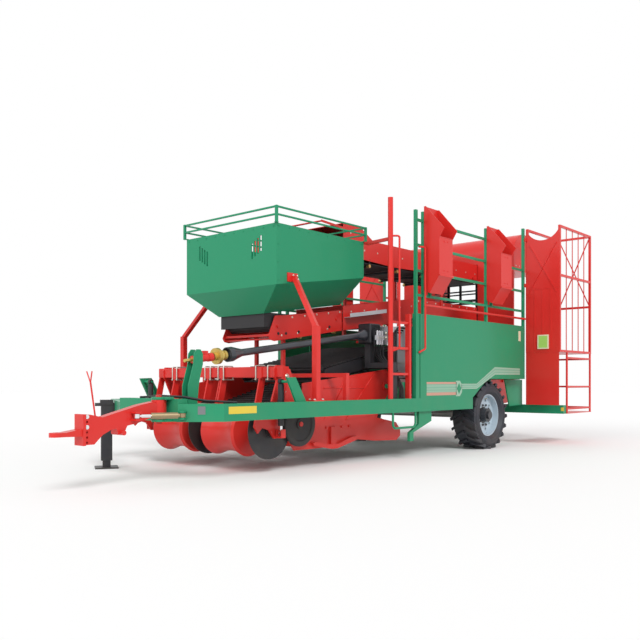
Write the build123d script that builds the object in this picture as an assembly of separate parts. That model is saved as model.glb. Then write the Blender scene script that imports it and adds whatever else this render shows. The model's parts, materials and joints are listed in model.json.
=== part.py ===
"""Two-row trailed potato harvester with a front hopper, a rear elevator and side picking platforms.

Millimetres. X forwards from the wheel axle, Y to the left, Z up from the ground while the pieces are
made. write_parts() then moves everything back by mid_x, so the origin is under the middle of the machine.
"""

from build123d import *
import math
import os

# Driving dimensions of the whole machine.
wheel_radius = 525
wheel_width = 440
rim_radius = 345
half_width = 1450
cage_reach = 2060
tongue_tip = 7110
cage_rear = -2430
mid_x = (tongue_tip + cage_rear) / 2
axle_z = wheel_radius
wheel_y = half_width - wheel_width / 2

# Main frame.
beam_low, beam_high, beam_width = 640, 820, 100
beam_rear, beam_front = 580, 5510
beam_in = half_width - beam_width
nose_x, nose_left, nose_right = 5840, 1130, 120
right_beam_front = 4930
inner_beam_y, inner_beam_width = 850, 90
rear_beam_x, rear_beam_low, rear_beam_high = -1310, 520, 660

# Drawbar, steering and power take-off line.
draw_y = 930
pivot_x, pivot_low, pivot_high, pivot_radius = 5925, 665, 865, 30
steer_lug = (5850, 1215)
steer_eye = (6255, draw_y + 95)
steer_z = 710
pto_tip, pto_tip_z, pto_slope = 5600, 1262, 0.135

# Digging head, hinged at the back of its web.
head_x, head_z = 2230, 985
bar_x, bar_half, bar_size, bar_z = 4320, 1027, 120, 1160
plate_y, plate_thick = 1015, 12
diabolo_x, diabolo_z, diabolo_radius, waist_radius, diabolo_half = 4490, 460, 290, 235, 290
coulter_z, coulter_radius = 490, 330
lift_x, lift_y, lift_arm_y = 4460, 1222, 1150
lift_top, lift_eye = 1045, 470

# Upper works.
hopper_rear, hopper_front, hopper_half = 2460, 4150, 845
mid_hopper = (hopper_rear + hopper_front) / 2
hopper_top, hopper_fold, fold_rise = 2950, 2210, 250
slot_front, slot_half, slot_z = 3950, 420, 1900
sheet = 12
panel_front, panel_rear, panel_top = 2090, -1130, 1970
arch_front, arch_top_x, arch_z = 560, 130, 1090
right_setback = 300
rail_plane = 1430
mast_x, mast_top, mast_size = 2612, 3440, 68
elevator_front, elevator_rear, elevator_half, hood_half = -1340, -2260, 690, 1150
elevator_top, hood_low, elevator_low = 3620, 2960, 660
wing_inner, wing_outer = 446, 1137
conveyor_half, conveyor_front, conveyor_z = 438, 2400, 2880
table_half, table_front, table_rear, table_low, table_top = 450, 640, -1300, 2080, 2361


def block(x, y, z):
    """A box from its three (low, high) pairs."""
    size = [high - low for low, high in (x, y, z)]
    middle = [(low + high) / 2 for low, high in (x, y, z)]
    return Pos(*middle) * Box(*size)


def rod(start, end, diameter):
    """A round bar from one point to another."""
    line = Vector(*end) - Vector(*start)
    return Plane(origin=start, z_dir=line) * Cylinder(
        diameter / 2, line.length, align=(Align.CENTER, Align.CENTER, Align.MIN))


def bar(start, end, width, height, up=(0, 0, 1)):
    """A square-section bar from one point to another, its width across the up direction."""
    line = Vector(*end) - Vector(*start)
    across = Vector(*up).cross(line)
    return Plane(origin=start, x_dir=across, z_dir=line) * Box(
        width, height, line.length, align=(Align.CENTER, Align.CENTER, Align.MIN))


def bent(points, diameter, radius):
    """A round tube that follows points, its corners rounded."""
    path = FilletPolyline(*points, radius=radius)
    return sweep(Plane(origin=path @ 0, z_dir=path % 0) * Circle(diameter / 2), path=path)


def side_plate(outline, y_low, y_high):
    """A flat plate across Y: its outline is (x, z) points."""
    face = Plane.XZ * make_face(Polyline(*outline, close=True))
    return Pos(0, y_high, 0) * extrude(face, y_high - y_low)


def cross_plate(outline, x_low, x_high):
    """A flat plate across X: its outline is (y, z) points."""
    face = Plane.YZ * make_face(Polyline(*outline, close=True))
    return Pos(x_low, 0, 0) * extrude(face, x_high - x_low)


def floor_plate(outline, z_low, z_high):
    """A level plate: its outline is (x, y) points."""
    face = make_face(Polyline(*outline, close=True))
    return Pos(0, 0, z_low) * extrude(face, z_high - z_low)


def along_y(profile, y_low, y_high):
    """A cylinder or ring face drawn about (x, z), extruded along Y."""
    return Pos(0, y_high, 0) * extrude(Plane.XZ * profile, y_high - y_low)


def both_sides(shape):
    """The shape and its mirror image on the other side of the machine."""
    return [shape, mirror(shape, Plane.XZ)]


def joined(shapes):
    """All shapes as one part."""
    return Part() + shapes


# ---- Chassis ----

def main_frame():
    shapes = [block((beam_rear, beam_front), (beam_in, half_width), (beam_low, beam_high)),
              block((beam_rear, right_beam_front), (-half_width, -beam_in), (beam_low, beam_high))]
    # The left beam turns in to the nose, and a long brace closes the right corner.
    shapes.append(floor_plate([(beam_front, half_width), (nose_x, nose_left), (nose_x, nose_left - 140),
                               (beam_front, beam_in)], beam_low, beam_high))
    shapes.append(floor_plate([(nose_x, nose_right), (right_beam_front, -half_width),
                               (right_beam_front, -beam_in + 75), (nose_x - 120, nose_right)],
                              beam_low, beam_high))
    shapes.append(block((nose_x - 120, nose_x), (nose_right, nose_left), (beam_low, 870)))
    shapes.append(floor_plate([(beam_front - 60, beam_in), (nose_x - 60, nose_left - 60),
                               (nose_x - 60, 800), (beam_front - 70, 800)], beam_high - 18, beam_high))
    # Rear half: beams inside the wheels, joined to the outer beams ahead of the tyres.
    for side in (1, -1):
        inner = sorted((side * (inner_beam_y - inner_beam_width), side * inner_beam_y))
        shapes.append(block((rear_beam_x, 1300), inner, (beam_low, beam_high)))
        outer = sorted((side * inner_beam_y, side * (beam_in + 1)))
        shapes.append(block((beam_rear + 20, beam_rear + 120), outer, (beam_low, beam_high)))
        shapes.append(block((1200, 1300), outer, (beam_low, beam_high)))
    shapes.append(block((rear_beam_x - 110, rear_beam_x), (-cage_reach + 20, cage_reach - 20),
                        (rear_beam_low, rear_beam_high)))
    shapes.append(block((rear_beam_x - 10, rear_beam_x + 90), (-inner_beam_y, inner_beam_y),
                        (rear_beam_high - 10, beam_high)))
    # Gussets behind the wheels, web hangers, lift brackets.
    gusset = side_plate([(-1000, 1080), (-700, 1080), (-860, 640), (rear_beam_x, 660), (rear_beam_x, 900)],
                        1290, 1310)
    carrier = block((rear_beam_x - 10, -1000), (1290, 1310), (rear_beam_high - 10, 1080))
    hanger = side_plate([(1957, 650), (1650, 650), (1650, 500), (2090, 360), (2090, 245), (2180, 245),
                         (2180, 360), (1957, 470)], beam_in + 20, beam_in + 60)
    bracket = side_plate([(4210, 810), (4380, 810), (4530, 1090), (4390, 1095)], 1360, 1385)
    bracket += side_plate([(4210, 810), (4222, 810), (4402, 1095), (4390, 1095)], 1300, 1361)
    lift_pin = rod((lift_x, lift_y - 32, lift_top), (lift_x, 1365, lift_top), 30)
    head_post = block((head_x - 50, head_x + 50), (beam_in - 70, beam_in + 10), (beam_high - 60, 1040))
    head_pin = rod((head_x, plate_y - 22, head_z), (head_x, beam_in - 60, head_z), 60)
    step = bent([(2592, 1430, 645), (2592, 1430, 436), (2075, 1430, 436), (2075, 1430, 645)], 30, 60)
    for shape in (gusset, carrier, hanger, bracket, lift_pin, head_post, head_pin, step):
        shapes += both_sides(shape)
    # Clevis for the drawbar and a lug for the steering cylinder.
    for low, high in ((pivot_low - 25, pivot_low), (pivot_high, pivot_high + 25)):
        ear = block((nose_x - 20, pivot_x), (draw_y - 110, draw_y + 110), (low, high))
        tip = Pos(pivot_x, draw_y, (low + high) / 2) * Cylinder(75, high - low)
        shapes += [ear, tip]
    frame = joined(shapes + steer_mount())
    frame -= Pos(pivot_x, draw_y, 700) * Cylinder(pivot_radius + 0.5, 600)
    return frame


def axle():
    shapes = [rod((0, -1000, axle_z), (0, 1000, axle_z), 110)]
    for side in (1, -1):
        shapes.append(rod((0, side * 990, axle_z), (0, side * 1330, axle_z), 70))
        y = sorted((side * 775, side * 835))
        shapes.append(block((-70, 70), y, (axle_z - 20, beam_low)))
    return joined(shapes)


# ---- Wheels ----

def tyre(side):
    """A wide tyre with its diagonal lugs, standing on the ground."""
    half = wheel_width / 2
    tread = wheel_radius - 28
    outline = [(rim_radius - 20, -half + 60), (rim_radius + 25, -half + 8), (tread - 70, -half),
               (tread - 8, -half + 35), (tread, 0), (tread - 8, half - 35), (tread - 70, half),
               (rim_radius + 25, half - 8), (rim_radius - 20, half - 60)]
    casing = revolve(Plane.XZ * make_face(Polyline(*outline, close=True)), Axis.Z)
    lugs = []
    count = 20
    for n in range(count):
        for row, shift in ((1, 0), (-1, 0.5)):
            lug = Pos(tread + 5, 0, row * (half / 2 + 2)) * Rot(row * 32, 0, 0) * Box(75, 42, half + 22)
            lugs.append(Rot(0, 0, (n + shift) * 360 / count) * lug)
    band = Cylinder(wheel_radius, wheel_width - 16) - Cylinder(tread - 20, wheel_width)
    shape = casing + (joined(lugs) & band)
    turned = Rot(90, 0, 0) * shape
    return Pos(0, side * wheel_y, axle_z) * turned


def rim(side):
    """Dished steel wheel with its hub, bored for the axle stub."""
    half = wheel_width / 2
    outline = [(36, -40), (110, -40), (110, 60), (190, 90), (rim_radius - 60, 90),
               (rim_radius - 60, 130), (rim_radius - 20, half - 60.5), (rim_radius + 3, half - 22),
               (rim_radius - 12, half - 22), (rim_radius - 34, half - 62), (rim_radius - 48, 128),
               (rim_radius - 48, 76), (190, 76), (125, 50), (125, -40)]
    barrel = [(rim_radius - 34, -half + 62), (rim_radius - 20.5, -half + 62),
              (rim_radius - 20.5, half - 60), (rim_radius - 34, half - 60)]
    shell = revolve(Plane.XZ * make_face(Polyline(*barrel, close=True)), Axis.Z)
    ring = Pos(0, 0, 60) * (Cylinder(rim_radius - 30, 20) - Cylinder(100, 20))
    hub = Pos(0, 0, 70) * Cylinder(105, 180)
    cap = Pos(0, 0, 170) * Cylinder(62, 50)
    shape = shell + ring + hub + cap
    holes = [Rot(0, 0, n * 36) * Pos(235, 0, 60) * Cylinder(24, 60) for n in range(10)]
    shape -= joined(holes)
    shape -= Pos(0, 0, 20) * Cylinder(36, 200)
    turned = Rot(-90, 0, 0) * shape if side > 0 else Rot(90, 0, 0) * shape
    return Pos(0, side * wheel_y, axle_z) * turned


# ---- Drawbar, steering and jack ----

def drawbar():
    arm = [(pivot_x + 85, 845), (6180, 817), (6600, 710), (6737, 740), (6800, 740), (6800, 460),
           (6690, 460), (6600, 545), (6510, 588), (6210, 640), (pivot_x + 85, 700)]
    shape = side_plate(arm, draw_y - 50, draw_y + 50)
    boss = Pos(pivot_x, draw_y, (pivot_low + pivot_high) / 2) * Cylinder(75, pivot_high - pivot_low - 10)
    neck = block((pivot_x, pivot_x + 100), (draw_y - 50, draw_y + 50), (715, 830))
    pin = Pos(pivot_x, draw_y, (pivot_low + pivot_high) / 2) * Cylinder(pivot_radius, 290)
    shape = shape + boss + neck + pin
    # Hitch plate with its column of height holes, and the tongue with its eye.
    plate = block((6790, 6820), (draw_y - 75, draw_y + 75), (455, 745))
    tongue = side_plate([(6815, 608), (6815, 540), (6980, 545), (tongue_tip - 60, 545), (tongue_tip - 60, 585), (6980, 585)],
                        draw_y - 60, draw_y + 60)
    eye = Pos(tongue_tip - 60, draw_y, 565) * Cylinder(60, 40)
    shape = shape + plate + tongue + eye
    holes = [Plane(origin=(6765, draw_y, 480 + 48 * n), z_dir=(0, 1, 0)) * Cylinder(11, 300) for n in range(6)]
    shape -= joined(holes)
    shape -= Pos(tongue_tip - 60, draw_y, 565) * Cylinder(25.5, 100)
    # Lugs for the steering cylinder and a cross tube for the tractor's links.
    for low, high in ((steer_z - 44, steer_z - 26), (steer_z + 26, steer_z + 44)):
        shape += block((steer_eye[0] - 38, steer_eye[0] + 38), (draw_y + 49, steer_eye[1] + 38), (low, high))
    shape += side_plate([(6330, 620), (6450, 600), (6430, 540), (6370, 540)], draw_y - 50, draw_y + 50)
    shape += rod((6395, draw_y - 95, 555), (6395, draw_y + 95, 555), 48)
    # Forked rod that holds the tractor hoses.
    stem = rod((6650, draw_y, 715), (6700, draw_y, 1040), 16)
    forks = [rod((6700, draw_y, 1035), (6712, draw_y + dy, 1140), 12) for dy in (-45, 45)]
    return joined([shape, stem] + forks)


def steer_line():
    return Vector(steer_eye[0] - steer_lug[0], steer_eye[1] - steer_lug[1], 0)


def steer_barrel():
    start = Vector(steer_lug[0], steer_lug[1], steer_z)
    way = steer_line().normalized()
    eye = Pos(*start) * (Cylinder(32, 40) - Cylinder(16.5, 40))
    body = rod(start + way * 48, start + way * 310, 62)
    body += rod(start + way * 28, start + way * 60, 38)
    bore = rod(start + way * 75, start + way * 320, 32.2)
    return eye + (body - bore)


def steer_rod():
    end = Vector(steer_eye[0], steer_eye[1], steer_z)
    way = steer_line().normalized()
    return joined([rod(end - way * 300, end - way * 20, 32), Pos(*end) * Cylinder(30, 40)])


def steer_mount():
    """Ears on the frame's corner and the pin that the steering barrel turns on."""
    x, y = steer_lug
    shapes = [Pos(x, y, steer_z) * Cylinder(16, 84)]
    for z in (steer_z - 34, steer_z + 34):
        outline = [(x + 30, y - 6), (x + 6, y + 30), (x - 30, y + 8), (x - 90, y - 30), (x - 30, y - 90)]
        shapes.append(floor_plate(outline, z - 8, z + 8))
    return shapes


def jack_place():
    """Middle of the jack, beside the right brace of the nose."""
    brace = Vector(right_beam_front - nose_x, -half_width - nose_right, 0).normalized()
    outwards = Vector(-brace.Y, brace.X, 0)
    return Vector(nose_x, nose_right, 0) + brace * 1010 + outwards * 92


def jack_sleeve():
    spot = jack_place()
    turn = math.degrees(math.atan2(-half_width - nose_right, right_beam_front - nose_x))
    shape = Pos(0, 0, 452) * Box(130, 130, 716)
    shape += Pos(0, 0, 796) * Box(150, 150, 60)
    shape -= Pos(0, 0, 430) * Box(102, 102, 700)
    shape += Pos(0, -78.5, 730) * Box(120, 27, 120)
    shape += Pos(0, 90, 770) * Rot(90, 0, 0) * Cylinder(20, 90)
    return Pos(spot.X, spot.Y, 0) * Rot(0, 0, turn) * shape


def jack_leg():
    spot = jack_place()
    turn = math.degrees(math.atan2(-half_width - nose_right, right_beam_front - nose_x))
    shape = Pos(0, 0, 355) * Box(92, 92, 690) + Pos(0, 0, 8) * Box(270, 270, 16)
    return Pos(spot.X, spot.Y, 0) * Rot(0, 0, turn) * shape


# ---- Digging head ----

def head_frame():
    """Toolbar, its end arms and the forks that carry the rollers, discs and side wheels."""
    low, high = bar_z - bar_size / 2, bar_z + bar_size / 2
    shapes = [block((bar_x - 60, bar_x + 60), (-bar_half, bar_half), (low, high))]
    outline = [(bar_x + 75, 1190), (bar_x + 40, 1235), (bar_x - 90, 1235), (bar_x - 190, 1190), (3960, 820),
               (3960, 480), (4140, 480), (4160, 640), (bar_x + 40, 1060), (bar_x + 75, 1100)]
    end = side_plate(outline, bar_half, bar_half + 25)
    end += rod((wheel_x, bar_half + 24, wheel_z), (wheel_x, bar_half + 135, wheel_z), 56)
    shapes += both_sides(end)
    for y in fork_places:
        shapes.append(bar((bar_x + 20, y, low + 5), (diabolo_x, y, diabolo_z + 20), 90, 22, up=(0, 1, 0)))
        shapes.append(along_y(Pos(diabolo_x, diabolo_z) * Circle(55), y - 11, y + 11))
        shapes.append(block((bar_x - 75, bar_x + 75), (y - 38, y + 38), (low - 16, low)))
        shapes.append(block((bar_x + 60, bar_x + 72), (y - 38, y + 38), (low - 16, high)))
    for side in (1, -1):
        y = sorted((side * fork_places[2], side * fork_places[3]))
        shapes.append(rod((diabolo_x, y[0], diabolo_z), (diabolo_x, y[1], diabolo_z), 58))
    shapes.append(bar((bar_x, 70, low + 5), (disc_x, 70, coulter_z), 80, 20, up=(0, 1, 0)))
    shapes.append(rod((disc_x, 70, coulter_z), (disc_x, -30, coulter_z), 50))
    for x, y in ((coulter_spots["left"]), (coulter_spots["right"])):
        inner = y - math.copysign(42, y)
        shapes.append(bar((bar_x - 20, inner, low + 5), (x, inner, coulter_z), 80, 24, up=(0, 1, 0)))
        shapes.append(rod((x, inner, coulter_z), (x, y + math.copysign(32, y), coulter_z), 50))
    shapes += both_sides(lift_fork(low, high))
    return joined(shapes)


def lift_fork(low, high):
    """Outer arm of the toolbar, ending in the fork of the lift cylinder."""
    y = lift_arm_y
    lobes = [(lift_x - 60, 700), (lift_x + 330, 660), (lift_x + 355, 545), (lift_x + 300, 470),
             (lift_x + 235, 530), (lift_x + 130, 500), (lift_x + 50, 400), (lift_x - 30, 400)]
    eye = (lift_x - 35, lift_x + 35)
    return joined([
        block((bar_x - 50, bar_x + 50), (bar_half + 20, y + 12), (low, high)),
        bar((bar_x, y, low + 10), (lift_x, y, lift_eye), 80, 24, up=(0, 1, 0)),
        side_plate(lobes, y - 12, y + 12),
        block(eye, (y - 12, lift_y + 40), (lift_eye - 62, lift_eye - 45)),
        block(eye, (lift_y - 40, lift_y - 28), (lift_eye - 50, lift_eye + 35)),
        block(eye, (lift_y + 28, lift_y + 40), (lift_eye - 50, lift_eye + 35))])


# Where the side discs, the middle disc, the side wheels and the roller forks sit.
coulter_spots = {"left": (4517, 1090), "right": (4310, -925)}
disc_x = 4470
wheel_x, wheel_z, wheel_outer, wheel_half = 4050, 545, 265, 22
fork_places = (-800, -130, 130, 800)
# Row middles of the two ridges, each with its roller and share.
rows = (("left", 465), ("right", -465))
row_half = 370


def head_sides():
    """Plates that carry the web and the shares, one on each side, hinged at the back."""
    outline = [(3890, 1025), (2190, 1215), (2120, 1130), (2120, 900), (2300, 760), (2400, 560),
               (1960, 480), (1860, 380), (1860, 290), (1950, 230), (2450, 250), (2830, 290), (3300, 225),
               (4040, 225), (4130, 330), (4130, 655), (3960, 655), (3890, 800)]
    outer = plate_y + plate_thick
    shapes = both_sides(side_plate(outline, plate_y, outer))
    # Overlapping cover sheets, each with a raised front edge, and a skid along the bottom.
    covers = [[(3010, 1110), (2489, 1168), (2840, 800), (3090, 560), (3520, 560), (3272, 807)],
              [(2480, 1169), (2200, 1200), (2135, 1120), (2135, 910), (2420, 600), (3080, 560), (2832, 800)]]
    skid = [(3750, 300), (3720, 262), (3400, 206), (3280, 206), (2900, 290), (2880, 340), (2990, 335),
            (3260, 262), (3420, 262), (3680, 310)]
    extras = [side_plate(cover, outer - 1, outer + 9 + 5 * n) for n, cover in enumerate(covers)]
    extras.append(side_plate(skid, outer - 1, outer + 46))
    extras.append(block((3290, 3390), (outer - 1, outer + 30), (240, 480)))
    extras.append(block((3500, 3780), (outer - 1, outer + 7), (430, 600)))
    for n in range(4):
        extras.append(rod((3000 + 150 * n, outer - 1, 470), (3000 + 150 * n, outer + 16, 470), 34))
    for shape in extras:
        shapes += both_sides(shape)
    for side in (1, -1):
        y = sorted((side * (plate_y - 20), side * (outer + 26)))
        shapes.append(along_y(Pos(head_x, head_z) * Circle(62), *y))
    for x, z, diameter in ((3900, 290, 70), (2185, 920, 60)):
        shapes.append(rod((x, -plate_y - 1, z), (x, plate_y + 1, z), diameter))
    for ends in (web_ends, lower_ends):
        for x, z in ends:
            shapes.append(rod((x, -plate_y - 1, z), (x, plate_y + 1, z), 50))
    plates = joined(shapes)
    return plates - rod((head_x, -1200, head_z), (head_x, 1200, head_z), 61)


def shares():
    """Two flat blades that lift the ridges on to the web."""
    blades = []
    for name, y in rows:
        outline = [(3960, y - row_half), (3960, y + row_half), (4230, y + 250), (4300, y), (4230, y - 250)]
        blade = extrude(make_face(Polyline(*outline, close=True)), 14)
        blades.append(Pos(3960, 0, 336) * Rot(0, 18, 0) * Pos(-3960, 0, 0) * blade)
    return blades


def diabolo(y):
    """Hollow hourglass roller that runs on one ridge and sets the digging depth."""
    half, outer, wall = diabolo_half, diabolo_radius, 8

    def profile(inset):
        end, rim = half - inset, outer - inset
        flare = ThreePointArc((rim - 14, 70 - half), (waist_radius - inset, 0), (rim - 14, half - 70))
        lines = [Polyline((0, -end), (rim - 22, -end), (rim, 28 - half), (rim - 14, 70 - half)), flare,
                 Polyline((rim - 14, half - 70), (rim, half - 28), (rim - 22, end), (0, end)),
                 Line((0, end), (0, -end))]
        return make_face(Wire(joined_edges(lines)))

    shell = revolve(Plane.XZ * profile(0), Axis.Z) - revolve(Plane.XZ * profile(wall), Axis.Z)
    tube = Cylinder(48, 2 * half - 2 * wall + 2)
    body = shell + tube - Cylinder(30, 2 * half + 10)
    return Pos(diabolo_x, y, diabolo_z) * Rot(90, 0, 0) * body


def joined_edges(lines):
    """All edges of several lines, for one closed outline."""
    return [edge for line in lines for edge in line.edges()]


def coulter(x, y):
    disc = along_y(Circle(coulter_radius), -4, 4)
    hub = along_y(Circle(70), -22, 22)
    return Pos(x, y, coulter_z) * (disc + hub - along_y(Circle(26), -30, 30))


web_pitch = 93


def web_places(start, end, radius, pitch):
    """Places round a belt loop on two pulleys: (x, z, angle of the tangent in degrees)."""
    run = math.dist(start, end)
    slope = math.degrees(math.atan2(end[1] - start[1], end[0] - start[0]))
    turn = math.pi * radius
    count = round(2 * (run + turn) / pitch)
    places = []
    for n in range(count):
        s = n * 2 * (run + turn) / count
        if s < run:
            local, angle = (s, radius), 0
        elif s < run + turn:
            angle = -math.degrees((s - run) / radius)
            local = (run - radius * math.sin(math.radians(angle)), radius * math.cos(math.radians(angle)))
        elif s < 2 * run + turn:
            local, angle = (2 * run + turn - s, -radius), 180
        else:
            angle = 180 - math.degrees((s - 2 * run - turn) / radius)
            local = (-radius * math.sin(math.radians(angle)), radius * math.cos(math.radians(angle)))
        c, k = math.cos(math.radians(slope)), math.sin(math.radians(slope))
        places.append((start[0] + local[0] * c - local[1] * k, start[1] + local[0] * k + local[1] * c,
                       slope + angle))
    return places


def loop_face(start, end, radius, thick):
    """Ring face of a belt on two pulleys, in X and Z."""
    length = math.dist(start, end)
    slope = math.degrees(math.atan2(end[1] - start[1], end[0] - start[0]))
    middle = ((start[0] + end[0]) / 2, (start[1] + end[1]) / 2)
    ring = SlotCenterToCenter(length, 2 * radius) - SlotCenterToCenter(length, 2 * (radius - thick))
    return Pos(*middle) * Rot(0, 0, slope) * ring


def bar_web(start, end, radius, half, pitch, size, strips, shaft=50):
    """Endless web of cross bars on rubber strips, with a sprocket under each strip at both ends."""
    shapes = [along_y(loop_face(start, end, radius, 10), y - 25, y + 25) for y in strips]
    for x, z in (start, end):
        shapes += [along_y(Pos(x, z) * (Circle(radius - 9) - Circle(shaft / 2)), y - 18, y + 18) for y in strips]
    for x, z, angle in web_places(start, end, radius, pitch):
        shapes.append(Pos(x, 0, z) * Rot(0, -angle, 0) * Box(size, 2 * half, size))
    return joined(shapes)


# Pulley places of the digging web and of the short haulm web below its back end.
web_ends = ((2430, 880), (3830, 500))
lower_ends = ((1990, 370), (2960, 400))


def primary_web():
    half = plate_y - 20
    strips = (60 - half, 0, half - 60)
    loops = [bar_web(*web_ends, 130, half, web_pitch, 22, strips),
             bar_web(*lower_ends, 72, half, web_pitch, 20, strips)]
    return loops


def intake_wheel(side):
    """Rubber-tyred wheel behind the side disc that presses the haulm down."""
    profile = [(29, -wheel_half), (60, -wheel_half), (60, -8), (wheel_outer - 70, -8),
               (wheel_outer - 60, -wheel_half), (wheel_outer - 12, -wheel_half), (wheel_outer, -10),
               (wheel_outer, 10), (wheel_outer - 12, wheel_half), (wheel_outer - 60, wheel_half),
               (wheel_outer - 70, 8), (60, 8), (60, wheel_half), (29, wheel_half)]
    wheel = revolve(Plane.XZ * make_face(Polyline(*profile, close=True)), Axis.Z)
    return Pos(wheel_x, side * (bar_half + 100), wheel_z) * Rot(90, 0, 0) * wheel


def lift_barrel(side):
    body = rod((lift_x, lift_y * side, lift_top - 28), (lift_x, lift_y * side, lift_top - 500), 70)
    body -= rod((lift_x, lift_y * side, lift_top - 60), (lift_x, lift_y * side, lift_top - 510), 36.2)
    eye = Pos(lift_x, lift_y * side, lift_top) * along_y(Circle(32) - Circle(15.5), -20, 20)
    return eye + body


def lift_rod(side):
    shaft = rod((lift_x, lift_y * side, lift_top - 70), (lift_x, lift_y * side, lift_eye + 20), 36)
    return shaft + Pos(lift_x, lift_y * side, lift_eye) * along_y(Circle(30), -20, 20)


# ---- Power take-off line ----

def pto_stand():
    """Bent arm on the nose that carries the input shaft."""
    outline = [(5590, beam_high), (5470, beam_high), (5445, 1040), (5395, 1230), (5395, 1340), (5425, 1385),
               (5475, 1385), (5510, 1340), (5520, 1230), (5590, 1000)]
    plates = [side_plate(outline, draw_y + low, draw_y + low + 12) for low in (-52, 40)]
    web = side_plate([(5470, 830), (5480, 830), (5455, 1040), (5405, 1200), (5395, 1200), (5445, 1040)],
                     draw_y - 41, draw_y + 41)
    return joined(plates + [web])


def pto_at(x):
    """A point on the drive line, which rises towards the gearbox."""
    return Vector(x, draw_y, pto_tip_z + (pto_tip - x) * pto_slope)


pto_way = Vector(-1, 0, pto_slope).normalized()
guard_end = pto_at(2640)


def pto_bearing():
    """Bearing housing held between the plates of its stand."""
    body = rod(pto_at(5500), pto_at(5230), 79.6) + rod(pto_at(5290), pto_at(5230), 92)
    body += block((5415, 5495), (draw_y - 40, draw_y + 40), (pto_at(5455).Z - 22, pto_at(5455).Z + 22))
    body += block((5300, 5350), (draw_y - 25, draw_y + 25), (pto_at(5325).Z + 30, pto_at(5325).Z + 75))
    return body - rod(pto_at(5600), pto_at(5200), 45)


def pto_input():
    """Input shaft with its clutch: the tractor's shaft fits on the front end."""
    steps = ((5600, 5498, 34.9), (5500, 5210, 44.4), (5215, 5180, 90), (5180, 5168, 178), (5165, 5153, 178),
             (5150, 5138, 178), (5181, 5137, 150), (5138, 5090, 118), (5092, 5030, 84), (5070, 5040, 104))
    return joined([rod(pto_at(front), pto_at(rear), size) for front, rear, size in steps])


def drive_guard():
    """Fixed guard tube round the drive shaft, with a bell at the front and a cone at the back."""
    front, rear, way = pto_at(4860), guard_end, pto_way
    align = (Align.CENTER, Align.CENTER, Align.MIN)
    tube = rod(front, rear, 82)
    bell = Plane(origin=front - way * 155, z_dir=way) * Cylinder(82, 70, align=align)
    cone = Plane(origin=front - way * 86, z_dir=way) * Cone(82, 41, 150, align=align)
    bell -= Plane(origin=front - way * 160, z_dir=way) * Cylinder(74, 62, align=align)
    back = Plane(origin=rear - way * 60, z_dir=way) * Cone(41, 75, 120, align=align)
    return joined([tube, bell, cone, back])


def gearbox():
    """Drive gearbox beside the hopper, on an arm from the side beam."""
    spot = pto_at(2445)
    case = fillet(block((2330, 2560), (draw_y - 110, draw_y + 110), (spot.Z - 130, spot.Z + 140)).edges(), 22)
    shapes = [case, rod(guard_end + pto_way * 60, guard_end + pto_way * 100, 150),
              rod((2445, draw_y + 105, spot.Z), (2445, draw_y + 150, spot.Z), 150),
              block((2400, 2490), (draw_y - 45, draw_y + 45), (1232, spot.Z - 120)),
              block((2400, 2490), (draw_y - 45, beam_in + 10), (1232, 1300)),
              block((2400, 2490), (beam_in - 30, beam_in + 10), (beam_high - 80, 1290)) - block(
                  (2390, 2500), (beam_in, half_width), (beam_low, beam_high))]
    return joined(shapes)


def valve_block():
    """Hydraulic valves in a row, standing on the gearbox arm's bracket."""
    shapes = [block((2230, 2318), (draw_y - 60, draw_y + 180), (1590, 1750)),
              block((2240, 2329), (draw_y - 40, draw_y + 40), (1640, 1700))]
    for n in range(5):
        y = draw_y - 30 + 45 * n
        shapes.append(rod((2272, y, 1745), (2272, y, 1800), 32))
        shapes.append(rod((2272, y, 1595), (2272, y, 1550), 30))
        shapes.append(block((2206, 2232), (y - 14, y + 14), (1620, 1720)))
    return joined(shapes)


def oil_tank():
    """Hydraulic oil tank on a bracket of the side beam."""
    tank = fillet(block((1945, 2095), (1130, 1310), (beam_high + 60, 1490)).edges(), 18)
    shapes = [tank, rod((2020, 1220, 1485), (2020, 1220, 1505), 90),
              block((1960, 2080), (1180, beam_in + 20), (beam_high + 30, beam_high + 62)),
              block((1960, 2080), (beam_in - 20, beam_in + 20), (beam_high, beam_high + 40))]
    return joined(shapes)


def oil_cooler():
    """Louvred cooler on the tank."""
    cooler = block((1900, 2140), (1110, 1330), (1530, 1800)) + block((1930, 2110), (1130, 1310), (1505, 1535))
    for n in range(7):
        cooler -= block((1915, 2125), (1322, 1345), (1552 + 34 * n, 1572 + 34 * n))
    return cooler


def hoses():
    """Hydraulic hoses: bundle on the nose, drops behind the ladder and lines from the valves."""
    tubes = [bent([(5785, 420 + 32 * n, 881), (5785, 700 + 20 * n, 888 + 6 * n), (5700, 1010 + 26 * n, 888),
                   (5560, 1180 + 26 * n, 850), (5300, 1372 + 18 * n, 832)], 22, 60) for n in range(3)]
    for n in range(3):
        y = 1300 - 30 * n
        tubes.append(bent([(2140, y, 1770 - 30 * n), (2330, y, 1770 - 30 * n), (2330, y, 1150),
                           (2330, y + 115, 950), (2330, y + 115, beam_high)], 24, 50))
    for n in range(4):
        y = draw_y - 30 + 45 * n
        tubes.append(bent([(2272, y, 1550), (2272, y, 1400), (2272, y + 250, 1200 - 36 * n),
                           (2095, y + 250, 1200 - 36 * n)], 20, 40))
    return tubes


# ---- Hopper and its conveyor ----

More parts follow.
